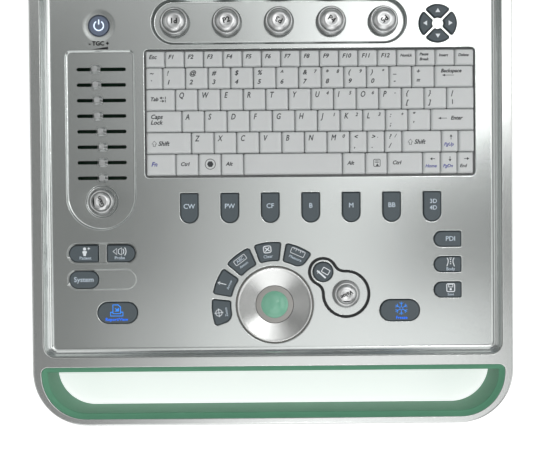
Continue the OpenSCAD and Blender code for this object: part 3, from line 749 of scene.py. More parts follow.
def panel_skin():
    """Control panel with its cove, its sunk fields and every opening."""
    b = Builder()
    flats, unders = [], []
    cove = [(-0.15, PLATE_Z), (0, PLATE_Z + 0.2), (0, RIM_Z - 0.35), (-0.35, RIM_Z)]
    cove += bend((-0.6, RIM_Z - 0.25), (-7.0, PANEL_Z), "up", 14) + [(-7.4, PANEL_Z)]
    outer = b.loft(panel_outline, cove)
    islands = []

    # Rows of the patient keys, each with an engraved outline
    for y in (86.6, 64.4):
        rim = groove(b, stadium(-144, y, 58.2, 16.8), 0.5, 0.4, flats, 0, 0.3)
        rims = []
        for k in ("key_patient", "key_probe", "key_system"):
            if abs(middle_of(k)[1] - y) < 3:
                key_hole(b, grown(KEYS[k], GAP), rims, unders)
        islands.append([rim] + rims)

    # Pod of the cursor key and the value knob
    # The pod's engraved line has a black floor: painted shade.
    rim = groove(b, two_circles(CURSOR, 11.4, VALUE, 19.3, 9), 2.3, 1.3, flats, 1, 0.3)
    rims = []
    key_hole(b, grown(KEYS["key_cursor"], GAP), rims, unders)
    key_hole(b, circle(*VALUE, SHAFT_R, 32), rims, unders)
    islands.append([rim] + rims)

    # Sunk strip of the parameter knobs
    rings = b.loft(strip_outline, [(0.9, PANEL_Z)] + bend((0.5, PANEL_Z), (0, PANEL_Z - 0.5), "flat", 3)
                   + bend((-1.1, STRIP_Z + 1.2), (-2.4, STRIP_Z), "up", 6) + [(-3.2, STRIP_Z)])
    flats.append(rings[0])
    shafts = [b.loft(circle(*KNOBS[f"knob_p{i}"], SHAFT_R, 32), [(0, STRIP_Z), (0, STRIP_Z - 2)])
              for i in range(1, 6)]
    b.fill([rings[-1]] + [s[0] for s in shafts])
    pan = b.loft(strip_outline, [(2, STRIP_Z - 2), (2, PLATE_Z)])
    b.fill([pan[0]] + [s[-1] for s in shafts], down=True)
    unders.append(pan[-1])

    # Pocket of the gain sliders
    rings = b.loft(pocket_outline, [(0.7, PANEL_Z)] + bend((0.35, PANEL_Z), (0, PANEL_Z - 0.3), "flat", 3)
                   + bend((-0.6, POCKET_Z + 0.5), (-2.0, POCKET_Z), "up", 5) + [(-2.6, POCKET_Z)])
    flats.append(rings[0])
    rims = []
    for y in SLOT_YS:
        slot_hole(b, stadium(SLOT_X, y, 41, 2.4, 6), rims, unders)
    dish = b.loft(circle(*GAIN, 13.6), [(0.5, POCKET_Z), (0.2, POCKET_Z - 0.02)]
                  + bend((-0.1, POCKET_Z - 0.15), (-1.6, DISH_Z), "up", 3) + [(-2, DISH_Z)])
    rims.append(dish[0])
    shaft = b.loft(circle(*GAIN, SHAFT_R, 32), [(0, DISH_Z), (0, PLATE_Z)])
    b.fill([dish[-1], shaft[0]])
    unders.append(shaft[-1])
    b.fill([rings[-1]] + rims)

    # Dimple of the power button
    slope = [(-5.0 * i / 8, PANEL_Z - 0.38 * math.sin(0.5 * math.pi * i / 8) ** 2) for i in range(9)]
    rings = b.loft(circle(*POWER, 14.3), [(0.2, PANEL_Z)] + slope
                   + [(-5.2, PANEL_Z - 0.6), (-5.2, PLATE_Z)])
    flats.append(rings[0])
    unders.append(rings[-1])

    # Openings straight in the panel
    for name, outline in KEYS.items():
        if name not in ("key_patient", "key_probe", "key_system", "key_cursor", "power_button"):
            key_hole(b, grown(outline, GAP), flats, unders)
    key_hole(b, grown(keyboard_outline, 1.3), flats, unders)
    key_hole(b, circle(*BALL, RING_R + 0.3, 120), flats, unders)

    b.fill([outer[-1]] + flats)
    for rims in islands:
        b.fill(rims)
    b.fill([outer[0]] + unders, down=True)
    b.done("panel_skin", "console", [DECK, GROOVE_SHADE], ["control_panel"])


def slot_hole(b, outline, rims, unders):
    """Slot of one slider, painted black inside as shade. rims and unders gather its rims."""
    rings = b.loft(outline, [(0.5, POCKET_Z)] + bend((0.35, POCKET_Z), (0, POCKET_Z - 0.3), "flat", 2)
                   + [(0, PLATE_Z)], mats=[0, 1, 1, 1])
    rims.append(rings[0])
    unders.append(rings[-1])


def printed_marks():
    """Gain wedge and its name over the sliders."""
    b = Builder()
    z = PANEL_Z + THICK * 0.6
    b.decal(text("- TGC +", 4.9, bold=0.24), -144.6, 263.4, z, mat=0)
    b.decal(shape([(-6.9, -0.7), (6.9, -0.7), (6.9, 1.5)]), -143.9, 259.2, z, mat=0)
    b.done("panel_print", "console", [BLACK_INK])


# ---- Keys ----

def plus(x, y, reach, width):
    return group(stroke([(x - reach, y), (x + reach, y)], width),
                 stroke([(x, y - reach), (x, y + reach)], width))


def person_icon():
    body = shape([(-2.1, 0.6), (0.9, 0.6), (1.5, -0.3), (0.7, -1.9), (0.4, -3.6), (-1.6, -3.6), (-1.9, -1.9),
                  (-2.7, -0.3)])
    return group(disc(1.35, -0.6, 2.3), body, plus(2.9, 2.6, 1.1, 0.7))


def probe_icon():
    arrow = stroke([(-5.6, 0), (-2.6, 2.6), (-2.6, -2.6)], 0.7, True)
    box = stroke([(-1.2, 1.5), (1.6, 3.1), (1.6, -3.1), (-1.2, -1.5)], 0.7, True)
    waves = [stroke(arc(0, 0, r, -40, 40, 8), 0.7) for r in (3.4, 5.3)]
    return group(arrow, box, *waves)


def report_icon():
    tray = stroke([(-3.4, -1.4), (-5.2, -1.4), (-5.2, -4.6), (5.2, -4.6), (5.2, -1.4), (3.4, -1.4)], 0.9)
    sheet = stroke([(-3.2, -2.6), (-3.2, 4.8), (1.2, 4.8), (3.2, 3.0), (3.2, -2.6)], 0.9, True)
    arrow = shape([(-1.8, 2.2), (-0.4, 0.2), (-1.8, -0.8), (1.9, -0.8), (1.9, 2.6), (0.6, 1.2)])
    return group(tray, sheet, arrow)


def polar(r, turn, x=0.0, y=0.0):
    """Point at a distance and a turn from (x, y)."""
    a = math.radians(turn)
    return x + r * math.cos(a), y + r * math.sin(a)


def snowflake_icon():
    arms = []
    for turn in range(30, 390, 60):
        arms.append(stroke([polar(1.2, turn), polar(5.6, turn)], 0.5))
        root = polar(3.4, turn)
        for lean in (-48, 48):
            arms.append(stroke([root, polar(2.3, turn + lean, *root)], 0.42))
    hexagon = stroke(arc(0, 0, 1.4, 30, 390, 6)[:-1], 0.45, True)
    return group(hexagon, *arms)


def target_icon():
    ring = stroke(arc(0, 0, 2.7, 0, 360, 24)[:-1], 0.55, True)
    return group(ring, plus(0, 0, 3.8, 0.5))


def pointer_icon():
    head = stroke([(-3.5, 1.8), (-2.5, 3.8), (-1.1, 2.2)], 0.5)
    return group(stroke([(-1.4, -3.4), (-2.4, 3.2)], 0.7), head)


def frame_icon(w, h):
    return stroke(rounded(0, 0, w, h, 0.7, 2)(), 0.5, True)


def cross_box_icon():
    box = stroke(rounded(0, 0, 6.2, 5.6, 1.4, 3)(), 0.8, True)
    return group(box, stroke([(-1.9, 1.6), (1.9, -1.6)], 0.9), stroke([(-1.9, -1.6), (1.9, 1.6)], 0.9))


def ruler_icon():
    marks = [stroke([(x, 2.4), (x, 0.2 if i % 2 else 1.2)], 0.5) for i, x in enumerate((-4, -2, 0, 2, 4))]
    return group(frame_icon(12, 4.8), *marks)


def body_icon():
    sides = [stroke([(s * 3.0, 3.6), (s * 2.0, 1.6), (s * 2.1, -0.6), (s * 3.2, -3.6)], 0.7) for s in (-1, 1)]
    spine = [disc(0.55, 0, y, 8) for y in (2.2, 0.4, -1.4)]
    return group(*sides, *spine, stroke([(-1.2, 3.4), (1.2, 3.4)], 0.5))


def save_icon():
    box = stroke(rounded(0, 0, 6.6, 6.6, 0.9, 3)(), 0.8, True)
    return group(box, stroke(rounded(0, 1.7, 3.6, 2.2, 0.3, 2)(), 0.6, True), disc(1.0, 0, -1.3, 12))


def update_icon():
    """Screen with a pointer line, leaning to the right."""
    square = stroke(turned_points(rounded(0, 0, 6.2, 4.2, 0.4, 2)(), -30), 0.7, True)
    line = stroke([(-5.0, 1.2), (2.2, -5.2)], 1.4)
    return group((square, 2.3, 0.7), line, stroke([(-4.8, -1.2), (-2.9, 0.9)], 0.7))


def power_icon():
    ring = stroke(arc(0, 0, 4.0, 122, 418, 28), 1.0)
    return group(ring, stroke([(0, 1.0), (0, 5.2)], 1.0))


def word(words, size, dx, dy):
    """A key's name with its shift from the key's middle."""
    return text(words, size, bold=0.04), dx, dy


def legends():
    """What is printed on each function key: {node: (pattern, turn, shift along x, shift along y)}."""
    marks = {"mode_" + k.lower(): (text(k, 5.6, bold=0.1), 0, 0, 1.4)
             for k in ("CW", "PW", "CF", "B", "M", "BB")}
    marks["mode_3d"] = (text("3D\n4D", 5.0, bold=0.1, spacing=1.1), 0, 1.0, 1.6)
    marks["key_pdi"] = (text("PDI", 5.6, bold=0.1), 0, 2.4, 0)
    marks["key_body"] = (group((body_icon(), 0, 1.9), word("Body", 3.6, 0, -4.0)), 0, 2.4, 0)
    marks["key_save"] = (group((save_icon(), 0, 1.7), word("Save", 3.0, 0, -3.9)), 0, 2.4, 0)
    marks["key_patient"] = (group((person_icon(), 0, 1.7), word("Patient", 3.6, 0, -3.8)), 0, 1.5, 0)
    marks["key_probe"] = (group((probe_icon(), 0, 1.7), word("Probe", 3.6, 0, -3.8)), 0, -1, 0)
    marks["key_system"] = (text("System", 5.9, bold=0.1), 0, 0, 0)
    marks["key_report"] = (group((report_icon(), 0, 2.0), word("Report/View", 3.7, 0, -5.6)), 0, -0.6, 0)
    marks["key_freeze"] = (group((snowflake_icon(), 0, 1.7), word("Freeze", 3.6, 0.3, -6.2)), 0, 1.2, 0)
    arcs = {
        "key_zoom": group((target_icon(), 0, 2.4), word("Zoom", 3.0, 0, -4.0)),
        "key_arrow": group((pointer_icon(), 0.5, 2.4), word("Arrow", 3.0, 0, -3.6)),
        "key_annotate": group((frame_icon(11, 4.5), 0, 2.2), word("ABC", 3.8, 0, 2.2),
                              word("Annot", 3.2, 0, -3.0)),
        "key_clear": group((cross_box_icon(), 0, 2.6), word("Clear", 3.6, 0, -3.6)),
        "key_measure": group((ruler_icon(), 0, 2.3), word("Measure", 3.3, 0, -3.2)),
    }
    for k, pattern in arcs.items():
        marks[k] = (pattern, ARC_KEYS[k][0] - 90, 0, 0)
    for k, turn in PAD_KEYS.items():
        marks[k] = (shape([(2.2, 0), (-1.2, 2.1), (-1.2, -2.1)]), turn, 0, 0)
    marks["key_cursor"] = (update_icon(), 0, 0, 0)
    marks["power_button"] = (power_icon(), 0, 0, 0)
    return marks


def function_key(node, outline, mark):
    """Silicone key with a rounded edge, a flat top and its legend."""
    pattern, turn, dx, dy = mark
    power = node == "power_button"
    top = PANEL_Z + (0.1 if power else 1.5)
    edge, flange = 0.9, 0.8
    b = Builder()
    rings = b.loft(outline, [(flange, PLATE_Z - 1.6), (flange, PLATE_Z - 0.1), (-TRIM, PLATE_Z - 0.1)]
                   + bend((-TRIM, top - edge), (-TRIM - edge, top), "up", 6) + [(-TRIM - edge - 0.5, top)])
    b.cap(rings[0], down=True)
    b.cap(rings[-1])
    x, y = middle(outline)
    b.decal(pattern, x + dx, y + dy, top + THICK * 0.6, turn)
    lit = {"power_button": WHITE_GLOW, "key_report": BLUE_GLOW, "key_freeze": BLUE_GLOW}
    ink = lit.get(node, WHITE_INK)
    body = POWER_CAP if power else SLATE
    b.done("cap_" + node, node, [body, ink], [node])


def middle(outline):
    """Middle of an outline's extent."""
    points = outline()
    xs, ys = [p[0] for p in points], [p[1] for p in points]
    return (min(xs) + max(xs)) / 2, (min(ys) + max(ys)) / 2


# ---- Keyboard ----

PITCH = 19.05
ROWS = [
    [16.24] * 17,
    [14.3] + [PITCH] * 12 + [32.6],
    [24.6] + [PITCH] * 12 + [23],
    [30] + [PITCH] * 11 + [36.6],
    [37.9] + [PITCH] * 7 + [14.7, 14.7, 14.7, 33.2, 14.2, 13.6],
    [24.6, 19.2, 19, 19, 83.2, 19.3, 18.5, 29.9, 14.9, 14.2, 13.6],
]
LABELS = [
    ["Esc"] + [f"F{i}" for i in range(1, 13)] + ["NumLk", "Pause\nBreak", "Insert", "Delete"],
    ["~\n`"] + [a + "\n" + c for a, c in zip("!@#$%^&*()_+", "1234567890-=")] + ["Backspace"],
    ["Tab"] + list("QWERTYUIOP") + ["{\n[", "}\n]", "|\n\\"],
    ["Caps\nLock"] + list("ASDFGHJKL") + [":\n;", "\"\n'", "Enter"],
    ["Shift"] + list("ZXCVBNM") + ["<\n,", ">\n.", "?\n/", "Shift", "PgUp", ""],
    ["Fn", "Ctrl", "circle", "Alt", "", "Alt", "menu", "Ctrl", "Home", "PgDn", "End"],
]
CAP_GAP = 0.45
CAP_TOP = PANEL_Z + 2.5


def keycap(b, cx, cy, w, d):
    """One keycap: tapered sides, the front leaning most, and a dished top."""
    z0, z1 = PANEL_Z - 3.5, CAP_TOP
    foot = rounded(cx, cy, w, d, 1.0, 4)
    layers = [(foot(-0.15), z0), (foot(), z0 + 0.4)]
    for side, front, drop in [(0.0, 0.0, 2.4), (0.85, 1.1, 0.5), (1.2, 1.5, 0.15), (1.75, 2.1, 0.0)]:
        back = side * 0.6
        step = rounded(cx, cy + (front - back) / 2, w - 2 * side, d - front - back, 1.3, 4)
        layers.append((step(), z1 - drop))
    rings = b.stack(layers)
    b.cap(rings[0], down=True)
    b.crown(rings[-1], -DISH, steps=3)


def cap_surface(cx, cy, w, d):
    """Height of a keycap's dished top at a point."""
    def height(x, y):
        reach = max(abs(x - cx) / (w / 2 - 1.75), abs(y - cy) / (d / 2 - 1.7))
        return CAP_TOP - DISH * (1 - min(reach, 1) ** 2) + THICK * 0.9
    return height


def keyboard():
    """All the keycaps with their legends, row by row from the back."""
    b = Builder()
    back = KEYBOARD[1] + KEYBOARD[3] / 2 - 0.4
    for row, widths in enumerate(ROWS):
        depth = 18.15 if row else 13.8
        x = KEYBOARD[0] - KEYBOARD[2] / 2
        for w, label in zip(widths, LABELS[row]):
            cx, cy = x + w / 2, back - depth / 2
            keycap(b, cx, cy, w - CAP_GAP, depth - CAP_GAP)
            keycap_legend(b, label, cx, cy, w - CAP_GAP, depth - CAP_GAP)
            x += w
        back -= depth
    b.done("keycaps", "keyboard_keys", [CAP, CAP_INK, FN_INK], ["keyboard_keys"])


def keycap_legend(b, label, cx, cy, w, d):
    """Prints a keycap. Places are measured from its left and back edges."""
    height = cap_surface(cx, cy, w, d)
    left, back = cx - w / 2, cy + d / 2

    def put(words, size, x, y, ink=1, bold=0.14, spacing=0.9, wide=1.0):
        b.decal(text(words, size, 0.26, "LEFT", bold, spacing, wide), left + x, back - y, height, mat=ink)

    def sign(pattern, x, y):
        b.decal(pattern, left + x, back - y, height)

    if len(label) == 1:
        put(label, 6.8, 2.9, 5.4, bold=0.1, wide=0.74)
    elif "\n" in label and len(label) == 3:
        put(label[0], 5.4, 3.1, 4.8)
        put(label[2], 5.4, 3.1, 12.4)
    elif d < 14:
        size = 4.9 if len(label) <= 3 else 3.2
        put(label, size, 2.6, 5.0 if "\n" not in label else 6.2, bold=0.12, spacing=1.3)
    elif label in KEY_ARROWS:
        sign(KEY_ARROWS[label], w / 2 + 0.8, 5.6)
        put(label, 3.8, 1.6, 11.6, 1 if label == "End" else 2, 0.1)
    elif label in PLAIN_MARKS:
        sign(PLAIN_MARKS[label], w / 2 + 0.4, 8.6)
    elif label == "Backspace":
        put(label, 4.2, 4.8, 4.4)
        sign(long_arrow(10), 11.0, 8.0)
    elif label == "Enter":
        put(label, 4.4, 16.4, 7.7)
        sign(long_arrow(7.6), 9.6, 7.8)
    elif label == "Tab":
        put(label, 4.4, 3.4, 8.4)
        for turn, lift in ((180, 1.2), (0, -1.4)):
            bar = shape([(2.6, -1), (3.2, -1), (3.2, 1), (2.6, 1)])
            sign(group(small_arrow(turn, 1.8), bar), 13.4, 8.4 - lift)
    elif label == "Shift":
        sign(shift_arrow(), 6.6, 9.3)
        put(label, 5.2, 9.8, 9.4)
    elif label == "Caps\nLock":
        put(label, 5.0, 3.6, 7.4, spacing=0.95)
    else:
        put(label, 5.2 if label == "Fn" else 4.4, 3.8, 8.6, 2 if label == "Fn" else 1)
    if label in SECOND:
        put(SECOND[label], 4.0, w - 6.2, 4.2, bold=0.1)


def small_arrow(turn, reach=2.0):
    line = stroke(turned_points([(-reach, 0), (reach - 1, 0)], turn), 0.5)
    head = [(reach + 0.3, 0), (reach - 1.6, 1.2), (reach - 1.6, -1.2)]
    return group(line, shape(turned_points(head, turn)))


def long_arrow(length):
    return group(stroke([(-length / 2 + 1, 0), (length / 2, 0)], 0.4),
                 shape([(-length / 2, 0), (-length / 2 + 2.6, -1.0), (-length / 2 + 2.6, 1.0)]))


def shift_arrow():
    points = [(-0.9, -2.2), (0.9, -2.2), (0.9, -0.2), (2.1, -0.2), (0, 2.2), (-2.1, -0.2), (-0.9, -0.2)]
    return stroke(points, 0.5, True)


def menu_mark():
    lines = [stroke([(-1.5, y), (1.5, y)], 0.5) for y in (1.6, 0.4)]
    return group(frame_icon(5.4, 6), *lines, shape([(-0.9, -2.6), (1.6, -2.6), (0.3, -0.4)]))


def plain_circle_mark():
    return group(stroke(arc(0, 0, 4.3, 0, 360, 28)[:-1], 0.5, True), disc(2.7, n=6))


DISH = 0.22
KEY_ARROWS = {k: small_arrow(turn) for k, turn in {"PgUp": 90, "Home": 180, "PgDn": -90, "End": 0}.items()}
PLAIN_MARKS = {"circle": plain_circle_mark(), "menu": menu_mark()}
SECOND = {
    "&\n7": "7", "*\n8": "8", "(\n9": "9", ")\n0": "*", "U": "4", "I": "5", "O": "6", "P": "-", "J": "1",
    "K": "2", "L": "3", ":\n;": "+", "M": "0", ">\n.": ".", "?\n/": "/",
}


# ---- Knobs, sliders, trackball ----

def knob(node, at, base_r, cap_r, z0, z1, marks):
    """Plated knob: ribbed skirt, a bead round the cap, and a domed top with a dish for its marks."""
    waist, lip, brow = z0 + (z1 - z0) * 0.4, z1 - 2.2, cap_r * 0.8
    bead, hollow = 0.7, 0.56 * brow

    def dish(r):
        return z1 - 0.5 * (1 - min(r / hollow, 1) ** 2)

    profile = [(0, 39), (3, 39), (3, z0 + 0.2), (base_r - 0.7, z0), (base_r, z0 + 0.6),
               (base_r - 0.3, waist - 0.6), (base_r - 0.8, waist), (cap_r + 0.2, waist + 0.3),
               (cap_r, waist + 0.6)]
    profile += [(cap_r - bead + x, lip - bead + z) for x, z in arc(0, 0, bead, 0, 150, 6)]
    rim_from = len(profile)
    profile += [(brow + 0.7, lip - 1.3), (brow + 0.1, lip - 1.3)]
    profile += [(hollow + (brow - hollow) * x, lip - 0.3 + (z1 - lip + 0.3) * z)
                for x, z in arc(0, 0, 1, 0, 90, 8)]
    profile += [(hollow * t, dish(hollow * t)) for t in (0.85, 0.6, 0.3, 0)]
    b = Builder()
    # The skirt, the step above it and the gap inside the bead take the darker metal: painted shade.
    mats = [2 if i < 7 or i in (rim_from - 1, rim_from) else 0 for i in range(len(profile))]
    b.turned(*at, profile, mats=mats, n=192, ribs=(48, 0.75, z0 + 0.3, waist))
    for pattern, turn in marks:
        b.decal(pattern, *at, lambda x, y: dish(math.dist((x, y), at)) + THICK, turn)
    b.done("dial_" + node, node, [KNOB, BLACK_INK, KNOB_SHADE], [node], sharp=40)


def crescent(r, a0, a1, width):
    """Tapered arc, widest in the middle, as a strip of small pieces that can follow a dished top."""
    n = 14
    pieces = []
    points = [(x, y, 1 - width * max(math.sin(math.pi * i / n), 0.05) / r)
              for i, (x, y) in enumerate(arc(0, 0, r, a0, a1, n))]
    for (x0, y0, k0), (x1, y1, k1) in zip(points, points[1:]):
        pieces.append(shape([(x0, y0), (x1, y1), (x1 * k1, y1 * k1), (x0 * k0, y0 * k0)]))
    return group(*pieces)


def knobs():
    turns = {"knob_p1": 180, "knob_p2": 15, "knob_p3": 153, "knob_p4": -35, "knob_p5": 217}
    for node, turn in turns.items():
        name = text(node[-2:].upper(), 6.2, bold=0.2)
        knob(node, KNOBS[node], 12.9, 11.2, PANEL_Z - 3.7, KNOB_TOP, [(name, turn)])
    gain = [(text("Gain", 5.0, bold=0.16), 112), (crescent(6.9, 140, 225, 1.5), 0)]
    knob("gain_knob", GAIN, 11.4, 9.6, PANEL_Z - 1.2, KNOB_TOP, gain)
    value = [(text("Value", 4.8, bold=0.16), 208), (crescent(6.6, 235, 305, 1.1), 0)]
    knob("value_knob", VALUE, 11.9, 9.8, PANEL_Z + 0.5, KNOB_TOP + 0.2, value)


def sliders():
    """Slider caps: a stem in the slot, a waisted grip and five ribs on its top."""
    layers = [(8.0, 6.8, 0.4), (8.8, 7.4, 0.7), (8.2, 7.0, 1.3), (6.2, 6.0, 2.4), (5.2, 5.4, 4.0),
              (4.6, 5.0, 4.6)]
    for i in range(1, 9):
        node = f"tgc_slider_{i}"
        x, y = middle_of(node)
        b = Builder()
        b.block(x, y, 3.9, 1.7, POCKET_Z - 6, POCKET_Z + 0.8, 0.3, 0.1)
        rings = b.stack([(rounded(x, y, w, d, 0.34 * d, 5)(), POCKET_Z + z) for w, d, z in layers])
        b.cap(rings[0], down=True)
        b.cap(rings[-1])
        for k in range(-2, 3):
            b.block(x + 0.9 * k, y, 0.5, 4.6 - 0.5 * abs(k), POCKET_Z + 4.5, POCKET_Z + 5.45, 0.24, 0.15)
        b.done("cap_" + node, node, [SLIDE], [node], sharp=40)


def trackball():
    """Dished ring with a groove and a grey bezel round the ball, and the ball."""
    b = Builder()
    rim, flange, top, low = RING_R - 1.0, RING_R + 1.6, PANEL_Z + 0.9, PANEL_Z - 2.9
    profile = [(rim - 1, PLATE_Z - 2), (flange, PLATE_Z - 2), (flange, PLATE_Z - 0.1), (rim, PLATE_Z - 0.1)]
    dark_to = len(profile) - 1
    profile += bend((rim, top - 0.5), (rim - 0.5, top), "up", 4)
    reach = rim - 0.9 - BEZEL_R
    profile += [(rim - 0.9 - reach * i / 8, top - (top - low) * i / 8) for i in range(9)]
    profile += [(BEZEL_R - 0.1, low - 0.4), (BEZEL_R - 0.4, low - 0.4)]
    bezel_from = len(profile)
    profile += [(BEZEL_R - 0.5, low + 0.2), (12.6, low + 1.2)]
    profile += bend((12.1, low + 1.25), (11.4, low + 1.0), "flat", 3)
    profile += [(13.8, low - 0.6), (BEZEL_R, PLATE_Z - 1.6), (rim - 1, PLATE_Z - 2)]
    # The narrow groove where the dish meets the bezel is painted black: painted shade.
    ring, bezel_grey, line = range(3)
    mats = []
    for i in range(len(profile) - 1):
        if i < dark_to or i >= bezel_from - 1:
            mats.append(bezel_grey)
        else:
            mats.append(line if i >= bezel_from - 3 else ring)
    b.turned(*BALL, profile, mats=mats, n=144)
    bmesh.ops.remove_doubles(b.bm, verts=b.bm.verts, dist=0.001)
    finishes = [RING, BEZEL_GREY, GROOVE_SHADE]
    b.done("trackball_dish", "console", finishes, ["trackball_ring"], sharp=50)

    b = Builder()
    bmesh.ops.create_uvsphere(b.bm, u_segments=96, v_segments=48, radius=BALL_R,
                              matrix=Matrix.Translation((*BALL, BALL_Z)))
    for f in b.bm.faces:
        f.smooth = True
    b.done("track_ball", "trackball_ball", [BALL_GREEN], ["trackball_ball"])


# ---- Underside and back ----

def feet():
    """Four rubber feet, each with a hollow underneath."""
    b = Builder()
    low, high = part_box("rubber_feet")
    r, top = 9, 3.99
    half = high[0] / MM - r
    for x in (-half, half):
        for y in ((low[1] - FRONT) / MM + r, (high[1] - FRONT) / MM - r):
            b.turned(x, y, [(0, 0.6), (4, 0.6), (4.6, 0), (8.2, 0), (r, 0.8), (r, top), (0, top)], n=48)
    b.done("foot_pads", "console", [RUBBER], ["rubber_feet"])


def rear_connectors():
    """Metal rims, dark mouths and tongues on the port faces."""
    b = Builder()
    face = (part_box("main_board")[1][1] - FRONT) / MM
    for x, w, h in PORTS:
        z = PORT_Z + h / 2
        rim = rounded(x, z, w, h, 0.8, 4)()
        mouth = rounded(x, z, w - 1.6, h - 1.6, 0.5, 4)()
        outer = [[b.point(px, y, pz) for px, pz in rim] for y in (face + 0.3, face - 1)]
        inner = [[b.point(px, y, pz) for px, pz in mouth] for y in (face + 0.3, face + 0.08)]
        b.band(outer[1], outer[0])
        b.band(inner[0], inner[1])
        b.band(outer[0], inner[0])
        b.face(inner[1], 1)
        b.face(outer[1][::-1], 0)
        b.block(x, face - 0.3, 0.55 * w, 1.0, z - 0.9, z + 0.9, 0.1, 0.05, 2)
    b.done("port_shells", "console", [STEEL, DARK, GOLD])


def socket_fittings():
    """Contact block with two rows of contacts inside each probe socket."""
    b = Builder()
    count, pitch, low, high = 16, 2.5, 18, 24
    for x in PROBE_XS:
        b.block(x, REAR - 7.5, 44, 8, low, high, 0.6, 0.3)
        for i in range(count):
            for z in (low - 0.3, high):
                at = x + pitch * (i - (count - 1) / 2)
                b.block(at, REAR - 6.5, 1.1, 6.2, z, z + 0.35, 0.1, 0.05, 1)
    b.done("probe_contacts", "console", [DARK, GOLD])


# ---- Display lid ----

def lid_shell():
    """Outer cover of the lid with its sunk field, and the hinge barrel with its neck."""
    b = Builder()
    edge, roof = 7, LID_TOP - 2.5
    profile = [(-2.5, roof), (-2.5, LID_SPLIT + 0.1), (-0.4, LID_SPLIT + 0.1), (0, LID_SPLIT + 0.45)]
    profile += bend((0, LID_TOP - edge), (-edge, LID_TOP), "up", 10) + [(-edge - 1, LID_TOP)]
    rings = b.loft(lid_outline, profile)
    b.cap(rings[0], down=True)
    inlay = rounded(0, 150, 300, 214, 12, 10)
    sunk = LID_TOP - 0.9
    rims = b.loft(inlay, [(0.6, LID_TOP)] + bend((0.4, LID_TOP), (0, LID_TOP - 0.4), "flat", 3)
                  + bend((-0.1, LID_TOP - 0.6), (-0.6, sunk), "up", 2) + [(-1, sunk)])
    b.fill([rings[-1], rims[0]])
    b.cap(rims[-1])
    b.done("lid_shell", "lid", [CASE], ["lid_cover"], LID_OPEN)

    b = Builder(along_x=True)
    half = 138
    barrel = bend((-1, -half), (0, 1 - half), "flat", 3) + bend((0, half - 1), (-1, half), "up", 3)
    neck = [(0, 4 - half), (0, half - 4)]
    for outline, profile in (
        (circle(*HINGE, HINGE_R, 64), barrel),
        (rounded(HINGE[0] - 9, HINGE[1], 18, 8, [0.5, 1.5, 1.5, 0.5], 4), neck),
    ):
        rings = b.loft(outline, profile)
        b.cap(rings[0], down=True)
        b.cap(rings[-1])
    b.done("hinge_barrel", "lid", [CASE], matrix=LID_OPEN)


def bezel():
    """Frame round the screen, with speaker slots and four rubber stops."""
    b = Builder()
    low, top = LID_LOW, LID_SPLIT
    window = rounded(0, SCREEN_Y, 308, 232, 2.5, 6)
    speakers = [stadium(side * (100 + 5 * i), 284, 2.2, 20, 6) for side in (-1, 1) for i in range(12)]
    outer = b.loft(lid_outline, [(-2, low)] + bend((-1.6, low), (-0.2, low + 1.4), "flat", 5) + [(-0.2, top)])
    sill = b.loft(window, [(0, top)] + bend((0, low + 1.2), (1.2, low), "up", 4) + [(1.6, low)])
    slots = [b.loft(s, [(0, top)] + bend((0, low + 0.4), (0.4, low), "up", 2) + [(0.5, low)])
             for s in speakers]
    b.fill([outer[0], sill[-1]] + [s[-1] for s in slots], down=True)
    b.fill([outer[-1], sill[0]] + [s[0] for s in slots])
    stop = [(0, low - 1.4), (3.4, low - 1.3), (4, low - 0.8), (4, low + 0.4), (0, low + 0.4)]
    for x in (-180, 180):
        for y in (2, 300):
            b.turned(x, y, stop, n=32, mat=1)
    b.done("bezel_skin", "lid", [BEZEL_PLASTIC, RUBBER], ["lid_bezel"], LID_OPEN)


def display():
    """Display module behind its film, with a plain scanning picture."""
    b = Builder()
    b.block(0, SCREEN_Y, 326, 254, LID_SPLIT + 0.05, 71, 2, 0.3, 0, 3)
    bar = rounded(0, 258, 304, 3.0, 0.8, 3)()
    b.cap(b.ring(bar, LID_SPLIT + 0.01), 1, down=True)
    b.done("display_module", "lid", [GLASS, BAR_GLOW], ["lcd_module"], LID_OPEN)
    fan_picture()
    screen_marks()


def on_screen(u, v):
    """Point of the closed lid for a place on the screen: u to the viewer's right, v up, from its middle."""
    return u, SCREEN_Y - v


def screen_plate(b, points, mat):
    """Thin plate on the film, from points in screen directions."""
    placed = [on_screen(*p) for p in points][::-1]
    low, high = b.ring(placed, LID_SPLIT - 0.07), b.ring(placed, LID_SPLIT + 0.03)
    b.band(low, high, mat)
    b.cap(low, mat, down=True)
    b.cap(high, mat)


def fan_picture():
    """Fan of the scanning picture, with across and down as its UV."""
    b = Builder()
    apex, near, far, half = (-18, 138), 46, 218, 33
    across, down = 48, 40
    uv = b.bm.loops.layers.uv.new("fan")
    grid = []
    for j in range(down + 1):
        r = near + (far - near) * j / down
        row = []
        for i in range(across + 1):
            a = math.radians(-half + 2 * half * i / across)
            x, y = on_screen(apex[0] + r * math.sin(a), apex[1] - r * math.cos(a))
            row.append(b.point(x, y, LID_SPLIT - 0.08))
        grid.append(row)
    for j in range(down):
        for i in range(across):
            f = b.face((grid[j][i], grid[j][i + 1], grid[j + 1][i + 1], grid[j + 1][i]), 0)
            spots = ((i, j), (i + 1, j), (i + 1, j + 1), (i, j + 1))
            for loop, (p, q) in zip(f.loops, spots):
                loop[uv].uv = (p / across, q / down)
            f.normal_update()
            if f.normal.z > 0:
                f.normal_flip()
    b.done("scan_picture", "lid", [ECHO], matrix=LID_OPEN)


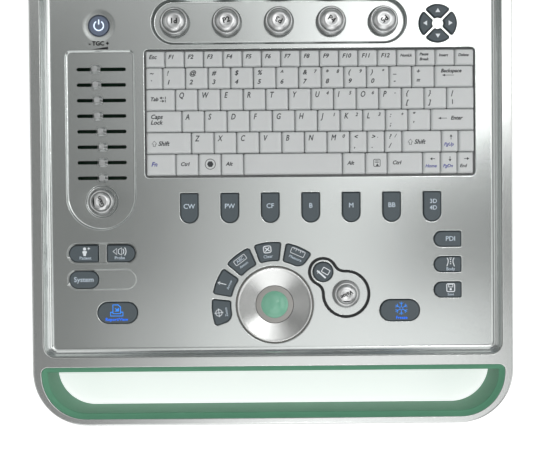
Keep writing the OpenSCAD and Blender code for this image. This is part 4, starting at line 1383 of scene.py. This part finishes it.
def screen_marks():
    """Depth scale, grey bar and menu bars round the scanning picture."""
    b = Builder()
    for k in range(11):
        v = 92 - 17.5 * k
        w = 5 if k % 5 == 0 else 3
        screen_plate(b, [(112, v - 0.3), (112 + w, v - 0.3), (112 + w, v + 0.3), (112, v + 0.3)], 0)
    for k in range(14):
        c = 60 - 6 * k
        screen_plate(b, [(-132, c), (-126, c), (-126, c + 5), (-132, c + 5)], 1 if k > 9 else 0)
    screen_plate(b, [(-152, 104), (152, 104), (152, 113), (-152, 113)], 2)
    screen_plate(b, [(-152, -113), (152, -113), (152, -105), (-152, -105)], 2)
    screen_plate(b, [(126, -100), (152, -100), (152, 98), (126, 98)], 2)
    screen_plate(b, [(-20, 95), (-16, 95), (-18, 99)], 1)
    b.done("screen_marks", "lid", [LINE_GLOW, AMBER_GLOW, BAR_GLOW], matrix=LID_OPEN)


# ---- Stage ----

CEILING = 2050


def stage():
    """Plain pale floor."""
    mesh = bpy.data.meshes.new("floor")
    half = 6.0
    corners = [(-half, -half, 0), (half, -half, 0), (half, half, 0), (-half, half, 0)]
    mesh.from_pydata(corners, [], [(0, 1, 2, 3)])
    floor = bpy.data.objects.new("floor", mesh)
    bpy.context.scene.collection.objects.link(floor)
    paper = finish("floor_paper", (0.93, 0.93, 0.93), 0.9, vary=0.01, cloud=400, grain=0.02, grain_size=2,
                   glow=(1, 1, 1), strength=0.56)
    mesh.materials.append(paper)


def softbox(name, at, size, radiance, aim=(0, 120, 50)):
    """Rectangular lamp of an even radiance. Its place and its size are in console millimetres."""
    lamp = bpy.data.lights.new(name, "AREA")
    lamp.shape = "RECTANGLE"
    lamp.size, lamp.size_y = size[0] * MM, size[1] * MM
    lamp.energy = radiance * math.pi * lamp.size * lamp.size_y
    obj = bpy.data.objects.new(name, lamp)
    obj.location = TO_ROW @ Vector(at)
    obj.rotation_euler = (Vector(aim) - Vector(at)).to_track_quat("-Z", "Y").to_euler()
    obj.visible_camera = False
    bpy.context.scene.collection.objects.link(obj)


def overhead(name, left, right, front, back, radiance):
    """Level softbox above the console."""
    x, y = (left + right) / 2, (front + back) / 2
    softbox(name, (x, y, CEILING), (right - left, back - front), radiance, aim=(x, y, 0))


def lights():
    """Ceiling panels whose mirror image shades the panel from left to right, low walls and two lamps."""
    overhead("far_left", -900, -250, 800, 1500, 0.45)
    overhead("far_right", -250, 1050, 800, 1500, 1.10)
    overhead("back_left", -500, -60, 290, 800, 0.22)
    overhead("back_middle", -60, 110, 290, 800, 0.65)
    overhead("back_centre", 110, 300, 290, 800, 1.10)
    overhead("back_centre_right", 300, 480, 310, 800, 2.90)
    overhead("back_right", 480, 700, 420, 800, 3.60)
    overhead("back_edge", 700, 1050, 420, 800, 1.80)
    overhead("middle_left", -250, -60, -130, 290, 0.38)
    overhead("middle", -60, 110, -130, 290, 0.58)
    overhead("middle_right", 110, 360, -130, 270, 0.78)
    overhead("front_left", -500, -250, -1100, -130, 0.35)
    overhead("front", -250, 200, -1100, -130, 0.84)
    overhead("front_right", 200, 720, -1100, -130, 1.02)
    overhead("outer_left", -2600, -1100, -1200, 1600, 0.6)
    overhead("outer_right", 1250, 2700, -1200, 1600, 1.3)
    overhead("outer_front", -1100, 1100, -2700, -1100, 1.2)
    overhead("outer_back", -1100, 1100, 1500, 2700, 0.6)
    softbox("lamp_right", (488, 445, CEILING - 50), (80, 80), 18)
    softbox("lamp_front", (86, -730, CEILING - 50), (80, 80), 30)
    softbox("wall_right", (2400, 150, 650), (2600, 1200), 1.0)
    softbox("wall_back", (0, 2500, 1300), (3400, 1200), 0.7)
    softbox("wall_front", (0, -2300, 800), (2600, 1000), 1.1)
    softbox("wall_left", (-2400, 150, 700), (2200, 1000), 0.4)
    world = bpy.data.worlds.new("studio")
    world.use_nodes = True
    background = world.node_tree.nodes["Background"]
    background.inputs["Color"].default_value = (0.99, 1.0, 0.98, 1)
    background.inputs["Strength"].default_value = 0.19
    bpy.context.scene.world = world
    bpy.context.scene.view_settings.view_transform = "Standard"


def camera():
    """Straight above the console, as high as a tall tripod would hold it."""
    height, roll = 852.0, 0.47
    foot, aim = (0.4, 120.7), (2.3, 106.6)
    data = bpy.data.cameras.new("camera")
    data.sensor_width = 36
    data.lens = 62.14
    cam = bpy.data.objects.new("camera", data)
    at = TO_ROW @ Vector((*foot, height))
    target = TO_ROW @ Vector((*aim, 52.5))
    look = (target - at).normalized()
    side = look.cross(Vector((0, 1, 0))).normalized()
    up = side.cross(look)
    turn = Matrix((side, up, -look)).transposed().to_4x4()
    cam.matrix_world = Matrix.Translation(at) @ turn @ Matrix.Rotation(math.radians(-roll), 4, "Z")
    bpy.context.scene.collection.objects.link(cam)
    bpy.context.scene.camera = cam


def repaint(node, mat):
    """Gives a carried-over CAD node a finished material."""
    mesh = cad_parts[node].data
    mesh.materials.clear()
    mesh.materials.append(mat)


camera()
lights()
stage()
frame_shell()
bottom_shell()
handle_lining()
panel_skin()
printed_marks()
MARKS = legends()
for key_node, key_outline in KEYS.items():
    function_key(key_node, key_outline, MARKS[key_node])
keyboard()
knobs()
sliders()
trackball()
feet()
rear_connectors()
socket_fittings()
lid_shell()
bezel()
display()
for cad_node, cad_finish in {
    "keyboard_frame": TRAY, "trackball_socket": DARK, "control_board": BOARD, "main_board": BOARD,
    "battery_pack": CELL, "probe_sockets": DARK, "hinge_shafts": STEEL, "case_screws": SCREW,
}.items():
    repaint(cad_node, cad_finish)
